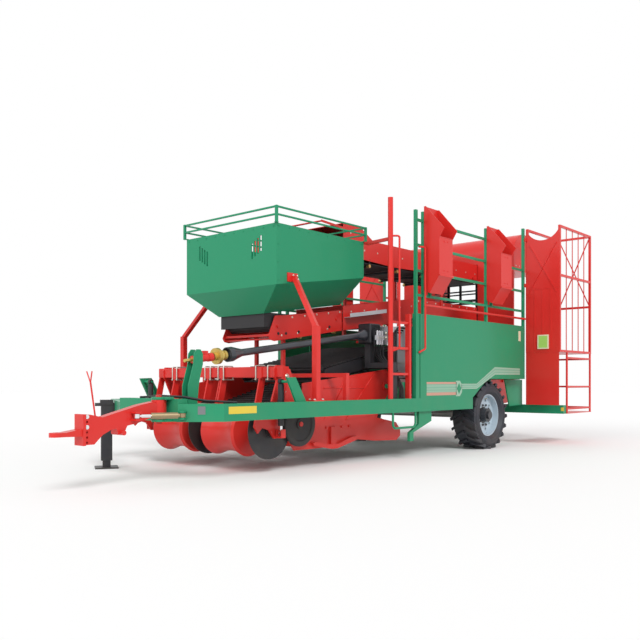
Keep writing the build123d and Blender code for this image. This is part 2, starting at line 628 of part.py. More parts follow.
def hopper_sections(inset):
    """Mouth, fold and slot of the hopper as closed outlines."""
    slope = fold_rise / (hopper_front - hopper_rear)

    def corners(rear, front, half, low, rise):
        return [(front, half, low), (rear, half, low + rise), (rear, -half, low + rise), (front, -half, low)]

    extra = 60 if inset else 0
    rear, front, half = hopper_rear + inset, hopper_front - inset, hopper_half - inset
    slot_rise = slope * (slot_front - hopper_rear)
    top = corners(rear, front, half, hopper_top + extra, 0)
    fold = corners(rear, front, half, hopper_fold, fold_rise)
    slot = corners(hopper_rear + inset, slot_front - inset, slot_half - inset, slot_z, slot_rise)
    drop = [(x, y, z - extra) for x, y, z in slot]
    return (top, fold, slot, drop) if inset else (top, fold, slot)


def solid_between(low, high):
    """Solid between two four-cornered outlines, flat faces all round."""
    faces = [make_face(Polyline(*low, close=True)), make_face(Polyline(*high, close=True))]
    return loft([f.face() for f in faces], ruled=True)


def slot_heights(y):
    """Lower and upper end of an air slot: the slots rise towards the corners."""
    low = 2555 + 0.56 * (abs(y + 15) - 425)
    return low, low + 190


def hopper():
    outer = hopper_sections(0)
    inner = hopper_sections(sheet)
    shape = solid_between(outer[1], outer[0]) + solid_between(outer[2], outer[1])
    shape -= solid_between(inner[1], inner[0]) + solid_between(inner[2], inner[1])
    shape -= solid_between(inner[3], inner[2])
    slots = []
    for start in (-590, 410):
        for n in range(4):
            y = start + 50 * n
            slots.append(block((hopper_front - 40, hopper_front + 40), (y, y + 30), slot_heights(y)))
    return shape - joined(slots)


rim_foot = 42  # how far a rail post's foot plate reaches in over the rim


def hopper_rails():
    """Corner posts on the rim and two thin bars round the mouth."""
    shapes = []
    corners = [(hopper_front + 18, hopper_half + 18), (hopper_rear - 18, hopper_half + 18),
               (hopper_rear - 18, -18 - hopper_half), (hopper_front + 18, -18 - hopper_half)]
    for n, (x, y) in enumerate(corners):
        far_x, far_y = corners[(n + 1) % 4]
        shapes.append(block((x - 15, x + 15), (y - 15, y + 15), (hopper_top, hopper_top + 200)))
        rim_x = sorted((x, x - math.copysign(rim_foot, x - mid_hopper)))
        rim_y = sorted((y, y - math.copysign(rim_foot, y)))
        shapes.append(block(rim_x, rim_y, (hopper_top, hopper_top + 8)))
        for z in (hopper_top + 95, hopper_top + 188):
            shapes.append(bar((x, y, z), (far_x, far_y, z), 20, 20))
    return joined(shapes)


def hopper_strut(x):
    """Bent tube from a side beam up to the hopper's flank."""
    foot = block((x - 90, x + 90), (beam_in, half_width), (beam_high, beam_high + 16))
    leg = block((x - 35, x + 35), (1365, 1435), (beam_high + 10, 1690))
    lean = bar((x, 1400, 1672), (x - 180, hopper_half + 52, 2300), 54, 54, up=(0, 1, 0))
    plate = block((x - 270, x - 90), (hopper_half, hopper_half + 14), (2262, 2370))
    ear = block((x - 205, x - 155), (hopper_half + 10, hopper_half + 70), (2268, 2330))
    return joined([foot, leg, lean, plate, ear])


def hopper_struts():
    return [hopper_strut(strut_x), mirror(hopper_strut(strut_x - right_setback), Plane.XZ)]


strut_x = 4060
# Front and rear end of the sloping conveyor, each as x and the height of its lower edge.
slope_run = (3880, 1560, 640, 2016)
unload_rear = 2430


def unload_frame():
    """Side plates of the conveyor below the hopper, with its front lip and cross bars."""
    x0, z0 = slope_run[:2]
    z1 = unload_base(unload_rear)
    outline = [(x0, z0 + 60), (x0 - 30, z0 + 14), (x0 - 110, z0), (unload_rear, z1), (unload_rear, z1 + 285),
               (x0 - 330, z0 + 345), (x0 - 120, z0 + 325)]
    shapes = both_sides(side_plate(outline, slot_half + 6, slot_half + 14))
    shapes.append(block((x0 - 62, x0 - 46), (-slot_half - 7, slot_half + 7), (z0 + 62, z0 + 90)))
    shapes.append(block((x0 - 100, x0 - 60), (-slot_half - 7, slot_half + 7), (z0 + 20, z0 + 34)))
    for x in (2500, 2950, 3400):
        base = unload_base(x)
        shapes.append(block((x, x + 50), (-slot_half - 7, slot_half + 7), (base + 10, base + 50)))
    for x in (unload_rear + 120, x0 - 170):
        shapes.append(rod((x, -slot_half - 30, unload_base(x) + 165), (x, slot_half + 30, unload_base(x) + 165), 40))
    return joined(shapes)


def unload_base(x):
    """Height of the conveyor's lower edge at x."""
    x0, z0, x1, z1 = slope_run
    return z0 + (x0 - x) * (z1 - z0) / (x0 - x1)


def belt(start, end, radius, half, shaft):
    """Rubber belt on its two drums, each drum bored for its shaft."""
    shapes = [along_y(loop_face(start, end, radius, 10), -half, half)]
    for x, z in (start, end):
        shapes.append(along_y(Pos(x, z) * (Circle(radius - 9) - Circle(shaft / 2)), 20 - half, half - 20))
    return joined(shapes)


def unload_belt():
    ends = [(x, unload_base(x) + 165) for x in (unload_rear + 120, slope_run[0] - 170)]
    return belt(*ends, 62, slot_half - 4, 40)


def conveyor_posts():
    """Posts from the cross beam between the side beams up to the unloading conveyor."""
    x = 3425
    shapes = [block((x - 30, x + 30), (-beam_in, beam_in), (1100, 1150))]
    for side in (1, -1):
        y = sorted((side * (beam_in - 50), side * beam_in))
        shapes.append(block((x - 30, x + 30), y, (beam_low + 20, 1150)))
        y = sorted((side * 228, side * 272))
        shapes.append(block((x - 22, x + 22), y, (1140, unload_base(x - 25) + 10)))
    return joined(shapes)


# ---- Side platforms ----

def mast():
    """Tall post on each side beam: the left one is also the ladder's front stile."""
    shapes = []
    for side, x in ((1, mast_x), (-1, mast_x - right_setback)):
        shapes.append(rod((x, side * 1405, beam_high), (x, side * 1405, mast_top), mast_size))
        shapes.append(bar((x, side * 1405, 2905), (hopper_rear - 25, side * 880, 2927), 40, 40))
        shapes.append(block((hopper_rear - 50, hopper_rear), sorted((side * 770, side * 900)), (2925, 2949)))
    return joined(shapes)


def ladder():
    """Masts, with the steps and rear stile of the left ladder and its two bent handrails."""
    shapes = [mast(), block((2188, 2230), (1370, 1440), (beam_high, 1950))]
    for z in (1130, 1470, 1810):
        shapes.append(block((2229, mast_x - 20), (1385, 1425), (z, z + 32)))
    shapes.append(bent([(mast_x, 1415, 2940), (2545, 1500, 2940), (2545, 1500, 1480), (mast_x, 1415, 1440)],
                       26, 28))
    rear = bent([(2040, 1462, 2870), (1950, 1505, 2870), (1950, 1505, 1490), (2040, 1462, 1440)], 26, 26)
    return [joined(shapes), rear]


def side_panel(side, front):
    """Flat sheet panel with folded edges, raised over the wheel, and a channel post at its front."""
    outline = [(front - 104, beam_high), (front - 104, panel_top), (panel_rear, panel_top),
               (panel_rear, arch_z), (arch_top_x, arch_z), (arch_front, beam_high)]
    skin = side_plate(outline, half_width - 8, half_width)
    fold_top = block((panel_rear, front - 104), (half_width - 60, half_width), (panel_top - 8, panel_top))
    fold_front = block((front - 112, front - 104), (half_width - 60, half_width), (beam_high, panel_top))
    groove = block((front - 112, front - 20), (half_width - 60, half_width - 40), (beam_high, panel_top))
    post = block((front - 84, front), (half_width - 60, half_width), (beam_high, panel_top))
    fold_rear = block((panel_rear, panel_rear + 8), (half_width - 60, half_width), (arch_z, panel_top))
    shape = joined([skin, fold_top, fold_front, groove, post, fold_rear])
    return shape if side > 0 else mirror(shape, Plane.XZ)


def guard_rail(side, front):
    """Posts and rails above a side panel."""
    posts = ((front - 20, 3370), (front - 200, 3370), (150, 3410), (panel_rear + 25, 3600))
    levels = (2220, 2550, 2900, 3240)
    shapes = []
    for x, top in posts:
        shapes.append(block((x - 22, x + 22), (rail_plane - 20, rail_plane + 20), (panel_top, top)))
    for z in levels:
        rear = 150 if z > 3000 else panel_rear + 25
        shapes.append(block((rear, front - 20), (rail_plane - 12, rail_plane + 12), (z - 18, z + 18)))
    for spot, bottom in chute_spots:
        x = (spot + bottom) / 2
        shapes.append(block((x - 20, x + 20), (rail_plane - 12, rail_plane + 24), (2220, 2330)))
    shape = joined(shapes)
    return shape if side > 0 else mirror(shape, Plane.XZ)


def red_rail(side, front):
    shape = joined([rod((front - 200, rail_plane + 37, 2090), (panel_rear + 25, rail_plane + 37, 2090), 34)])
    return shape if side > 0 else mirror(shape, Plane.XZ)


def platform(side):
    """Chequered floor that the pickers stand on, with brackets to the inner beams."""
    shape = block((panel_rear, 1780), (815, half_width - 62), (1112, 1140))
    for x in (-1090, 700, 1220):
        shape += block((x, x + 60), (inner_beam_y - 30, 1380), (1082, 1112))
        foot = beam_high if x < 1240 else 1084
        shape += block((x, x + 60), (inner_beam_y - 30, inner_beam_y), (foot, 1090))
    return shape if side > 0 else mirror(shape, Plane.XZ)


# ---- Picking table and inner webs ----

# Turning points of the table's two belts.
belt_ends = [(x, unload_base(x) + 175) for x in (table_front + 110, unload_rear - 110)]
belt_ends += [(table_rear + 90, 2200), (table_front - 70, 2200)]


def picking_frame():
    """Side plates of the picking table, sloping up from the hopper and then level, on legs."""
    start = unload_rear - 6
    low, high = unload_base(start), unload_base(start) + 345
    outline = [(start, low), (start, high), (table_front, table_top), (table_rear, table_top),
               (table_rear, table_low), (table_front, table_low), (table_front + 200, unload_base(table_front + 200))]
    shapes = both_sides(side_plate(outline, table_half - 8, table_half))
    for x, z in belt_ends:
        shapes.append(rod((x, 1 - table_half, z), (x, table_half - 1, z), 40))
    for x in (-1000, -200, 500, 1300, 2000):
        base = unload_base(x) if x > table_front else table_low
        shapes.append(block((x, x + 60), (1 - table_half, table_half - 1), (base + 5, base + 35)))
    # Legs down to the cross beams that lie on the inner walls.
    for x in (-1000, 500, 1300):
        foot = unload_base(x + 60) if x > table_front else table_low
        for side in (1, -1):
            y = sorted((side * (table_half - 40), side * table_half))
            shapes.append(block((x, x + 60), y, (1730, foot + 30)))
        shapes.append(block((x, x + 60), (-802, 802), (1700, 1740)))
    return joined(shapes)


def side_tray():
    """Bright gutter along each side of the sloping part of the table."""
    front, rear = unload_rear - 30, table_front + 900
    z0, z1 = unload_base(front) + 175, unload_base(rear) + 175
    floor = side_plate([(front, z0), (front, z0 + 5), (rear, z1 + 5), (rear, z1)], table_half, table_half + 110)
    edge = side_plate([(front, z0), (front, z0 + 55), (rear, z1 + 55), (rear, z1)],
                      table_half + 106, table_half + 110)
    return both_sides(floor + edge)


def picking_belt():
    """Two belts: one up the slope from below the hopper, one along the level table."""
    return [belt(*belt_ends[:2], 62, table_half - 12, 40), belt(*belt_ends[2:], 70, table_half - 12, 40)]


# Turning points of the web that lifts the crop from the digging web, and of the cleaning web.
rising_ends = ((1500, 1470), (3150, 1140))
cleaning_ends = ((-1080, 1260), (1300, 1300))


def rising_web():
    return bar_web(*rising_ends, 95, 760, web_pitch, 20, (-720, 0, 720))


def web_walls():
    """Side walls of the inner webs, standing on the inner beams, with the cleaning web's shafts."""
    wall = side_plate([(-1150, beam_high), (1740, beam_high), (1740, 1700), (-1150, 1700)], 790, 802)
    shafts = [rod((x, -801, z), (x, 801, z), 50) for x, z in cleaning_ends]
    return joined([*both_sides(wall), *shafts])


def web_rails():
    """Dark side rails of the rising web, bolted inside the walls, with its two shafts."""
    rail = side_plate([(3200, 1090), (3200, 1200), (3120, 1228), (1480, 1556), (1480, 1400), (2900, 1116)],
                      778, 790)
    shafts = [rod((x, -789, z), (x, 789, z), 50) for x, z in rising_ends]
    return joined([*both_sides(rail), *shafts])


def cleaning_web():
    return bar_web(*cleaning_ends, 95, 760, web_pitch, 20, (-720, 0, 720))


# ---- Chutes ----

chute_spots = ((1905, 1565), (165, -175))


def chutes(side):
    """Open-topped stone chutes outside the rails."""
    shapes = []
    for front, rear in chute_spots:
        y = rail_plane + 24
        outer = [(y, 2300), (y, 3440), (y + 30, 3440), (y + 320, 3110), (y + 245, 2990), (y + 245, 2480),
                 (y + 90, 2250)]
        inner = [(y + 8, 2200), (y + 8, 3500), (y + 42, 3500), (y + 400, 3110), (y + 237, 2992),
                 (y + 237, 2483), (y + 86, 2260), (y + 40, 2200)]
        box = cross_plate(outer, rear, front) - cross_plate(inner, rear + 8, front - 8)
        lip = cross_plate([(y + 245, 2480), (y + 245, 2500), (y + 262, 2486), (y + 262, 2470)], rear - 6, front + 6)
        shapes.append(box + lip)
    shape = joined(shapes)
    return shape if side > 0 else mirror(shape, Plane.XZ)


# ---- Upper conveyor to the hopper ----

def fill_frame():
    """Side plates of the conveyor from the elevator to the hopper, with its uprights and front hood."""
    half, rear = conveyor_half, elevator_front - 60
    outline = [(rear, 2850), (rear, 3120), (1700, 3110), (2020, 3280), (conveyor_front, 3280),
               (conveyor_front, 3000), (2330, 2830), (1200, 2790)]
    shapes = both_sides(side_plate(outline, half - 8, half))
    for x in (-1000, -60, 1000, 2000):
        shapes.append(block((x, x + 50), (1 - half, half - 1), (2868, 2892)))
    for x in (-130, 1250):
        for side in (1, -1):
            foot = (table_top if x < table_front else unload_base(x + 44) + 345) - 60
            shapes.append(block((x, x + 44), sorted((side * table_half, side * (table_half + 32))), (foot, 2900)))
            shapes.append(block((x, x + 44), sorted((side * (half - 1), side * (table_half + 1))), (2840, 2900)))
    shapes.append(rod((2290, -half - 20, conveyor_z), (2290, half + 20, conveyor_z), 40))
    shapes.append(rod((-1180, -half - 20, conveyor_z), (-1180, half + 20, conveyor_z), 40))
    hood = side_plate([(1700, 3100), (1700, 3110), (2020, 3280), (conveyor_front, 3280), (conveyor_front, 3270),
                       (2024, 3270)], 1 - half, half - 1)
    # Thin arms that reach over the hopper's rear rim and hold a cross rod.
    for y in (-half + 4, half - 4):
        shapes.append(bar((2370, y, 3205), (2870, y, 3235), 8, 32))
    shapes.append(rod((2860, -half, 3234), (2860, half, 3234), 24))
    return joined(shapes + [hood])


def fill_belt():
    return belt((-1180, conveyor_z), (2290, conveyor_z), 110, conveyor_half - 14, 40)


# ---- Rear elevator and cages ----

def elevator_housing():
    """Narrow lower casing, wide rounded hood and front wings of the rear elevator."""
    radius = 350
    middle = (elevator_front + elevator_rear) / 2
    length = elevator_front - elevator_rear
    height = elevator_top - elevator_low
    round_box = Pos(middle, (elevator_low + elevator_top) / 2) * RectangleRounded(length, height, radius)
    ring = round_box - Pos(middle, (elevator_low + elevator_top) / 2) * RectangleRounded(
        length - 16, height - 16, radius - 8)
    high_half = Pos(middle, (hood_low + elevator_top) / 2 + 100) * Rectangle(length, elevator_top - hood_low + 200)
    shapes = both_sides(along_y(round_box, elevator_half - 10, elevator_half))
    shapes += both_sides(along_y(round_box & high_half, hood_half - 10, hood_half))
    shapes.append(along_y(ring & high_half, -hood_half, hood_half))
    wing = block((elevator_front - 12, elevator_front), (wing_inner, wing_outer), (1500, hood_low + 20))
    shapes += both_sides(wing)
    shapes.append(block((elevator_front - 12, elevator_front), (-wing_inner - 1, wing_inner + 1), (1500, 2050)))
    # Feet on the rear beam and shelves that close the hood's underside outside the casing.
    foot = side_plate([(rear_beam_x - 110, rear_beam_high), (rear_beam_x - 15, rear_beam_high), (-1345, 1100),
                       (-1600, 1100), (-1600, 760)], elevator_half - 1, elevator_half + 12)
    shelf = block((elevator_rear, elevator_front), (elevator_half - 1, hood_half), (hood_low, hood_low + 8))
    for shape in (foot, shelf):
        shapes += both_sides(shape)
    for x, z in elevator_ends:
        shapes.append(rod((x, -elevator_half - 30, z), (x, elevator_half + 30, z), 50))
    # The crop leaves through the front onto the upper conveyor.
    mouth = block((elevator_front - 20, elevator_front + 20), (-wing_inner, wing_inner), (2050, 3130))
    return joined(shapes) - mouth


# Upper and lower turning points of the elevator's web.
elevator_ends = ((-1800, 1060), (-1800, 3240))


def elevator_web():
    """Web of bars with deep flights that lift the crop to the upper conveyor."""
    half = elevator_half - 16
    shapes = [bar_web(*elevator_ends, 300, half, 2 * web_pitch, 24, (60 - half, 0, half - 60))]
    for x, z, angle in web_places(*elevator_ends, 280, 8 * web_pitch):
        flight = Pos(x, 0, z) * Rot(0, -angle, 0) * (Pos(0, 0, -55) * Box(14, 2 * half, 130))
        shapes.append(flight)
    return joined(shapes)


def rear_cage(side):
    """Mesh cage at the rear corner, with its sheet front."""
    low, high, inner = 1530, 3590, 1465
    front, rear, out = panel_rear - 12, cage_rear, cage_reach
    size = 36
    shapes = []
    for x in (front - size, rear):
        for y in (inner, out - size):
            shapes.append(block((x, x + size), (y, y + size), (low, high)))
    for z in (low, 2760, high - size):
        shapes.append(block((rear, front), (out - size, out), (z, z + size)))
    for z in (low, 2330, high - size):
        shapes.append(block((rear, rear + size), (inner, out), (z, z + size)))
    for z in (low, high - size):
        shapes.append(block((rear, front), (inner, inner + size), (z, z + size)))
    dip = ThreePointArc((out, high), (1800, high - 215), (inner, high))
    edge = Wire([*dip.edges(), *Polyline((inner, high), (inner, low), (out, low), (out, high)).edges()])
    shapes.append(Pos(front - 6, 0, 0) * extrude(Plane.YZ * make_face(edge), 12))
    shapes.append(block((rear + 1, front - 1), (inner + 1, out - 1), (low + 4, low + 12)))
    for n in range(1, 5):
        x = front - size - n * (front - rear - 2 * size) / 5
        shapes.append(block((x - 6, x + 6), (out - 24, out - 12), (low, high)))
    for z0, z1 in ((2350, 3570), (3570, 2350)):
        shapes.append(bar((rear + 18, inner + 18, z0), (rear + 18, out - 18, z1), 16, 16, up=(1, 0, 0)))
        # The same cross is pressed into the front sheet.
        shapes.append(bar((front + 7, inner + 60, 0.66 * z0 + 960), (front + 7, out - 60, 0.66 * z1 + 960),
                          6, 18, up=(1, 0, 0)))
    for y in (1620, 1760, 1900):
        shapes.append(block((front + 5, front + 10), (y - 9, y + 9), (low + 40, 2570)))
    shapes.append(block((front + 5, front + 10), (inner + 30, out - 30), (2570, 2592)))
    # Lugs that meet the rearmost guard-rail post.
    for z in (2620, 3380):
        shapes.append(block((front - 10, front + 35), (rail_plane + 20, inner + 20), (z, z + 60)))
    shape = joined(shapes)
    return shape if side > 0 else mirror(shape, Plane.XZ)


def lower_cage(side):
    """Guard rails and floor of the rear step, below the cage."""
    front, rear, out, inner = panel_rear - 12, cage_rear, cage_reach, 1465
    shapes = [block((front - 8, front), (inner, out - 20), (rear_beam_high + 5, 1530))]
    shapes.append(floor_plate([(rear_beam_x - 110, inner), (rear_beam_x - 110, out), (rear, out), (rear, inner)],
                              rear_beam_low, rear_beam_low + 12))
    for z in (600, 960, 1440):
        shapes.append(rod((-1440, out - 17, z), (rear + 17, out - 17, z), 32))
        shapes.append(rod((rear + 17, out - 17, z), (rear + 17, inner, z), 32))
    for x, y in ((-1440, out - 17), (rear + 17, out - 17), (rear + 17, inner)):
        shapes.append(rod((x, y, rear_beam_low + 5), (x, y, 1530), 34))
    shape = joined(shapes)
    return shape if side > 0 else mirror(shape, Plane.XZ)


def pair(make):
    """One piece on each side of the machine."""
    return [make(1), make(-1)]


def side_panels():
    return [side_panel(1, panel_front), side_panel(-1, panel_front - right_setback)]


def guard_rails():
    return [guard_rail(1, panel_front), guard_rail(-1, panel_front - right_setback)]


def red_rails():
    return [red_rail(1, panel_front), red_rail(-1, panel_front - right_setback)]


def inner_webs():
    return [rising_web(), cleaning_web()]


def parts_list():
    pieces = {"platforms": pair(platform), "chutes": pair(chutes), "lower_cages": pair(lower_cage)}
    for side, name in ((1, "left"), (-1, "right")):
        pieces["tyre_" + name] = tyre(side)
        pieces["rim_" + name] = rim(side)
        pieces["lift_barrel_" + name] = lift_barrel(side)
        pieces["lift_rod_" + name] = lift_rod(side)
        pieces["intake_wheel_" + name] = intake_wheel(side)
        pieces["rear_cage_" + name] = rear_cage(side)
    for name, y in rows:
        pieces["diabolo_" + name] = diabolo(y)
    for name, (x, y) in coulter_spots.items():
        pieces["coulter_" + name] = coulter(x, y)
    pieces["coulter_middle"] = coulter(disc_x, 0)
    for make in (main_frame, axle, drawbar, steer_barrel, steer_rod, jack_sleeve, jack_leg, head_frame,
                 head_sides, shares, primary_web, pto_stand, pto_bearing, pto_input, drive_guard, gearbox,
                 valve_block, oil_tank, hopper, hopper_rails, hopper_struts, unload_frame, unload_belt,
                 conveyor_posts, ladder, side_panels, guard_rails, red_rails, picking_frame, picking_belt,
                 side_tray, fill_frame, fill_belt, inner_webs, web_walls, web_rails, oil_cooler, hoses,
                 elevator_housing, elevator_web):
        pieces[make.__name__] = make()
    return pieces


def write_parts(pieces):
    os.makedirs("parts", exist_ok=True)
    for name, shape in pieces.items():
        solids = shape if isinstance(shape, list) else [shape]
        moved = [Pos(-mid_x, 0, 0) * solid for solid in solids]
        export_step(moved[0] if len(moved) == 1 else Compound(children=moved), "parts/" + name + ".step")


write_parts(parts_list())
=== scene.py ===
import bpy
import bmesh
import json
import math
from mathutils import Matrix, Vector


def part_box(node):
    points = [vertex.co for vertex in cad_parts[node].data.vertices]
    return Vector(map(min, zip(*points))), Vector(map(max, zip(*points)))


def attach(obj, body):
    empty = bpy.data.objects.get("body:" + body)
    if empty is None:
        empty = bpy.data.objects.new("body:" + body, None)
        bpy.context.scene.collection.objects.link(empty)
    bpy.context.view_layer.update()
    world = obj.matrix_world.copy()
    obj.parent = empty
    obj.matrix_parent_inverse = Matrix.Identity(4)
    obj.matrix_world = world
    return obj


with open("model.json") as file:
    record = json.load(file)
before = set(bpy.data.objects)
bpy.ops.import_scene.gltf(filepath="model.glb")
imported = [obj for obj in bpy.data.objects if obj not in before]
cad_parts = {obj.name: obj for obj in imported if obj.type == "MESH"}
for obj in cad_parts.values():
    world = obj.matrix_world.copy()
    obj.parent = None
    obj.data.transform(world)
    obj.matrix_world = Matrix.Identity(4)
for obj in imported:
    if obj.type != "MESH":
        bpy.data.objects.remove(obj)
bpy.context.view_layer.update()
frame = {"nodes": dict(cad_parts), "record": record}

nodes = frame["nodes"]
slotOf = {part["node"]: part["material_slot"] for part in frame["record"]["subparts"]}
print("frame loaded:", len(nodes), "nodes")


# small helpers for shader and geometry trees

def addNode(tree, kind, **settings):
    node = tree.nodes.new(kind)
    for key, value in settings.items():
        setattr(node, key, value)
    return node


def wire(tree, start, end):
    tree.links.new(start, end)


def newGroup(name, kind, inputs, outputs):
    tree = bpy.data.node_groups.new(name, kind)
    for label, socketType, value in inputs:
        socket = tree.interface.new_socket(label, in_out="INPUT", socket_type=socketType)
        if value is not None:
            socket.default_value = value
    for label, socketType in outputs:
        tree.interface.new_socket(label, in_out="OUTPUT", socket_type=socketType)
    return tree, tree.nodes.new("NodeGroupInput"), tree.nodes.new("NodeGroupOutput")


# shader effects that several finishes share

def makeDustGroup():
    # soil dust: thick near the ground, thin and patchy higher up
    tree, entry, exit_ = newGroup("fieldDust", "ShaderNodeTree", [
        ("Amount", "NodeSocketFloat", 0.4), ("Fade Height", "NodeSocketFloat", 1.6),
        ("Patch Scale", "NodeSocketFloat", 3.5)], [("Mask", "NodeSocketFloat")])
    place = addNode(tree, "ShaderNodeTexCoord")
    split = addNode(tree, "ShaderNodeSeparateXYZ")
    wire(tree, place.outputs["Object"], split.inputs[0])
    fall = addNode(tree, "ShaderNodeMapRange", clamp=True)
    fall.inputs["From Min"].default_value = 0.1
    fall.inputs["To Min"].default_value = 1.0
    fall.inputs["To Max"].default_value = 0.12
    wire(tree, split.outputs["Z"], fall.inputs["Value"])
    wire(tree, entry.outputs["Fade Height"], fall.inputs["From Max"])
    patches = addNode(tree, "ShaderNodeTexNoise")
    patches.inputs["Detail"].default_value = 6.0
    wire(tree, place.outputs["Object"], patches.inputs["Vector"])
    wire(tree, entry.outputs["Patch Scale"], patches.inputs["Scale"])
    spread = addNode(tree, "ShaderNodeMapRange", clamp=True)
    spread.inputs["From Min"].default_value = 0.38
    spread.inputs["From Max"].default_value = 0.72
    wire(tree, patches.outputs["Fac"], spread.inputs["Value"])
    both = addNode(tree, "ShaderNodeMath", operation="MULTIPLY")
    wire(tree, fall.outputs["Result"], both.inputs[0])
    wire(tree, spread.outputs["Result"], both.inputs[1])
    scaled = addNode(tree, "ShaderNodeMath", operation="MULTIPLY", use_clamp=True)
    wire(tree, both.outputs[0], scaled.inputs[0])
    wire(tree, entry.outputs["Amount"], scaled.inputs[1])
    wire(tree, scaled.outputs[0], exit_.inputs["Mask"])
    return tree


def makeChipGroup():
    # small stone chips and scuffs in the paint
    tree, entry, exit_ = newGroup("stoneChips", "ShaderNodeTree", [
        ("Amount", "NodeSocketFloat", 0.3), ("Chip Scale", "NodeSocketFloat", 26.0)],
        [("Mask", "NodeSocketFloat")])
    place = addNode(tree, "ShaderNodeTexCoord")
    fine = addNode(tree, "ShaderNodeTexNoise")
    fine.inputs["Detail"].default_value = 8.0
    fine.inputs["Roughness"].default_value = 0.7
    wire(tree, place.outputs["Object"], fine.inputs["Vector"])
    wire(tree, entry.outputs["Chip Scale"], fine.inputs["Scale"])
    sharp = addNode(tree, "ShaderNodeMapRange", clamp=True)
    sharp.inputs["From Min"].default_value = 0.68
    sharp.inputs["From Max"].default_value = 0.73
    wire(tree, fine.outputs["Fac"], sharp.inputs["Value"])
    scaled = addNode(tree, "ShaderNodeMath", operation="MULTIPLY", use_clamp=True)
    wire(tree, sharp.outputs["Result"], scaled.inputs[0])
    wire(tree, entry.outputs["Amount"], scaled.inputs[1])
    wire(tree, scaled.outputs[0], exit_.inputs["Mask"])
    return tree


def makeGrainGroup():
    # orange peel of sprayed paint, or the grain of moulded rubber
    tree, entry, exit_ = newGroup("surfaceGrain", "ShaderNodeTree", [
        ("Grain Scale", "NodeSocketFloat", 140.0)], [("Height", "NodeSocketFloat")])
    place = addNode(tree, "ShaderNodeTexCoord")
    fine = addNode(tree, "ShaderNodeTexNoise")
    fine.inputs["Detail"].default_value = 3.0
    wire(tree, place.outputs["Object"], fine.inputs["Vector"])
    wire(tree, entry.outputs["Grain Scale"], fine.inputs["Scale"])
    wire(tree, fine.outputs["Fac"], exit_.inputs["Height"])
    return tree


dustGroup, chipGroup, grainGroup = makeDustGroup(), makeChipGroup(), makeGrainGroup()

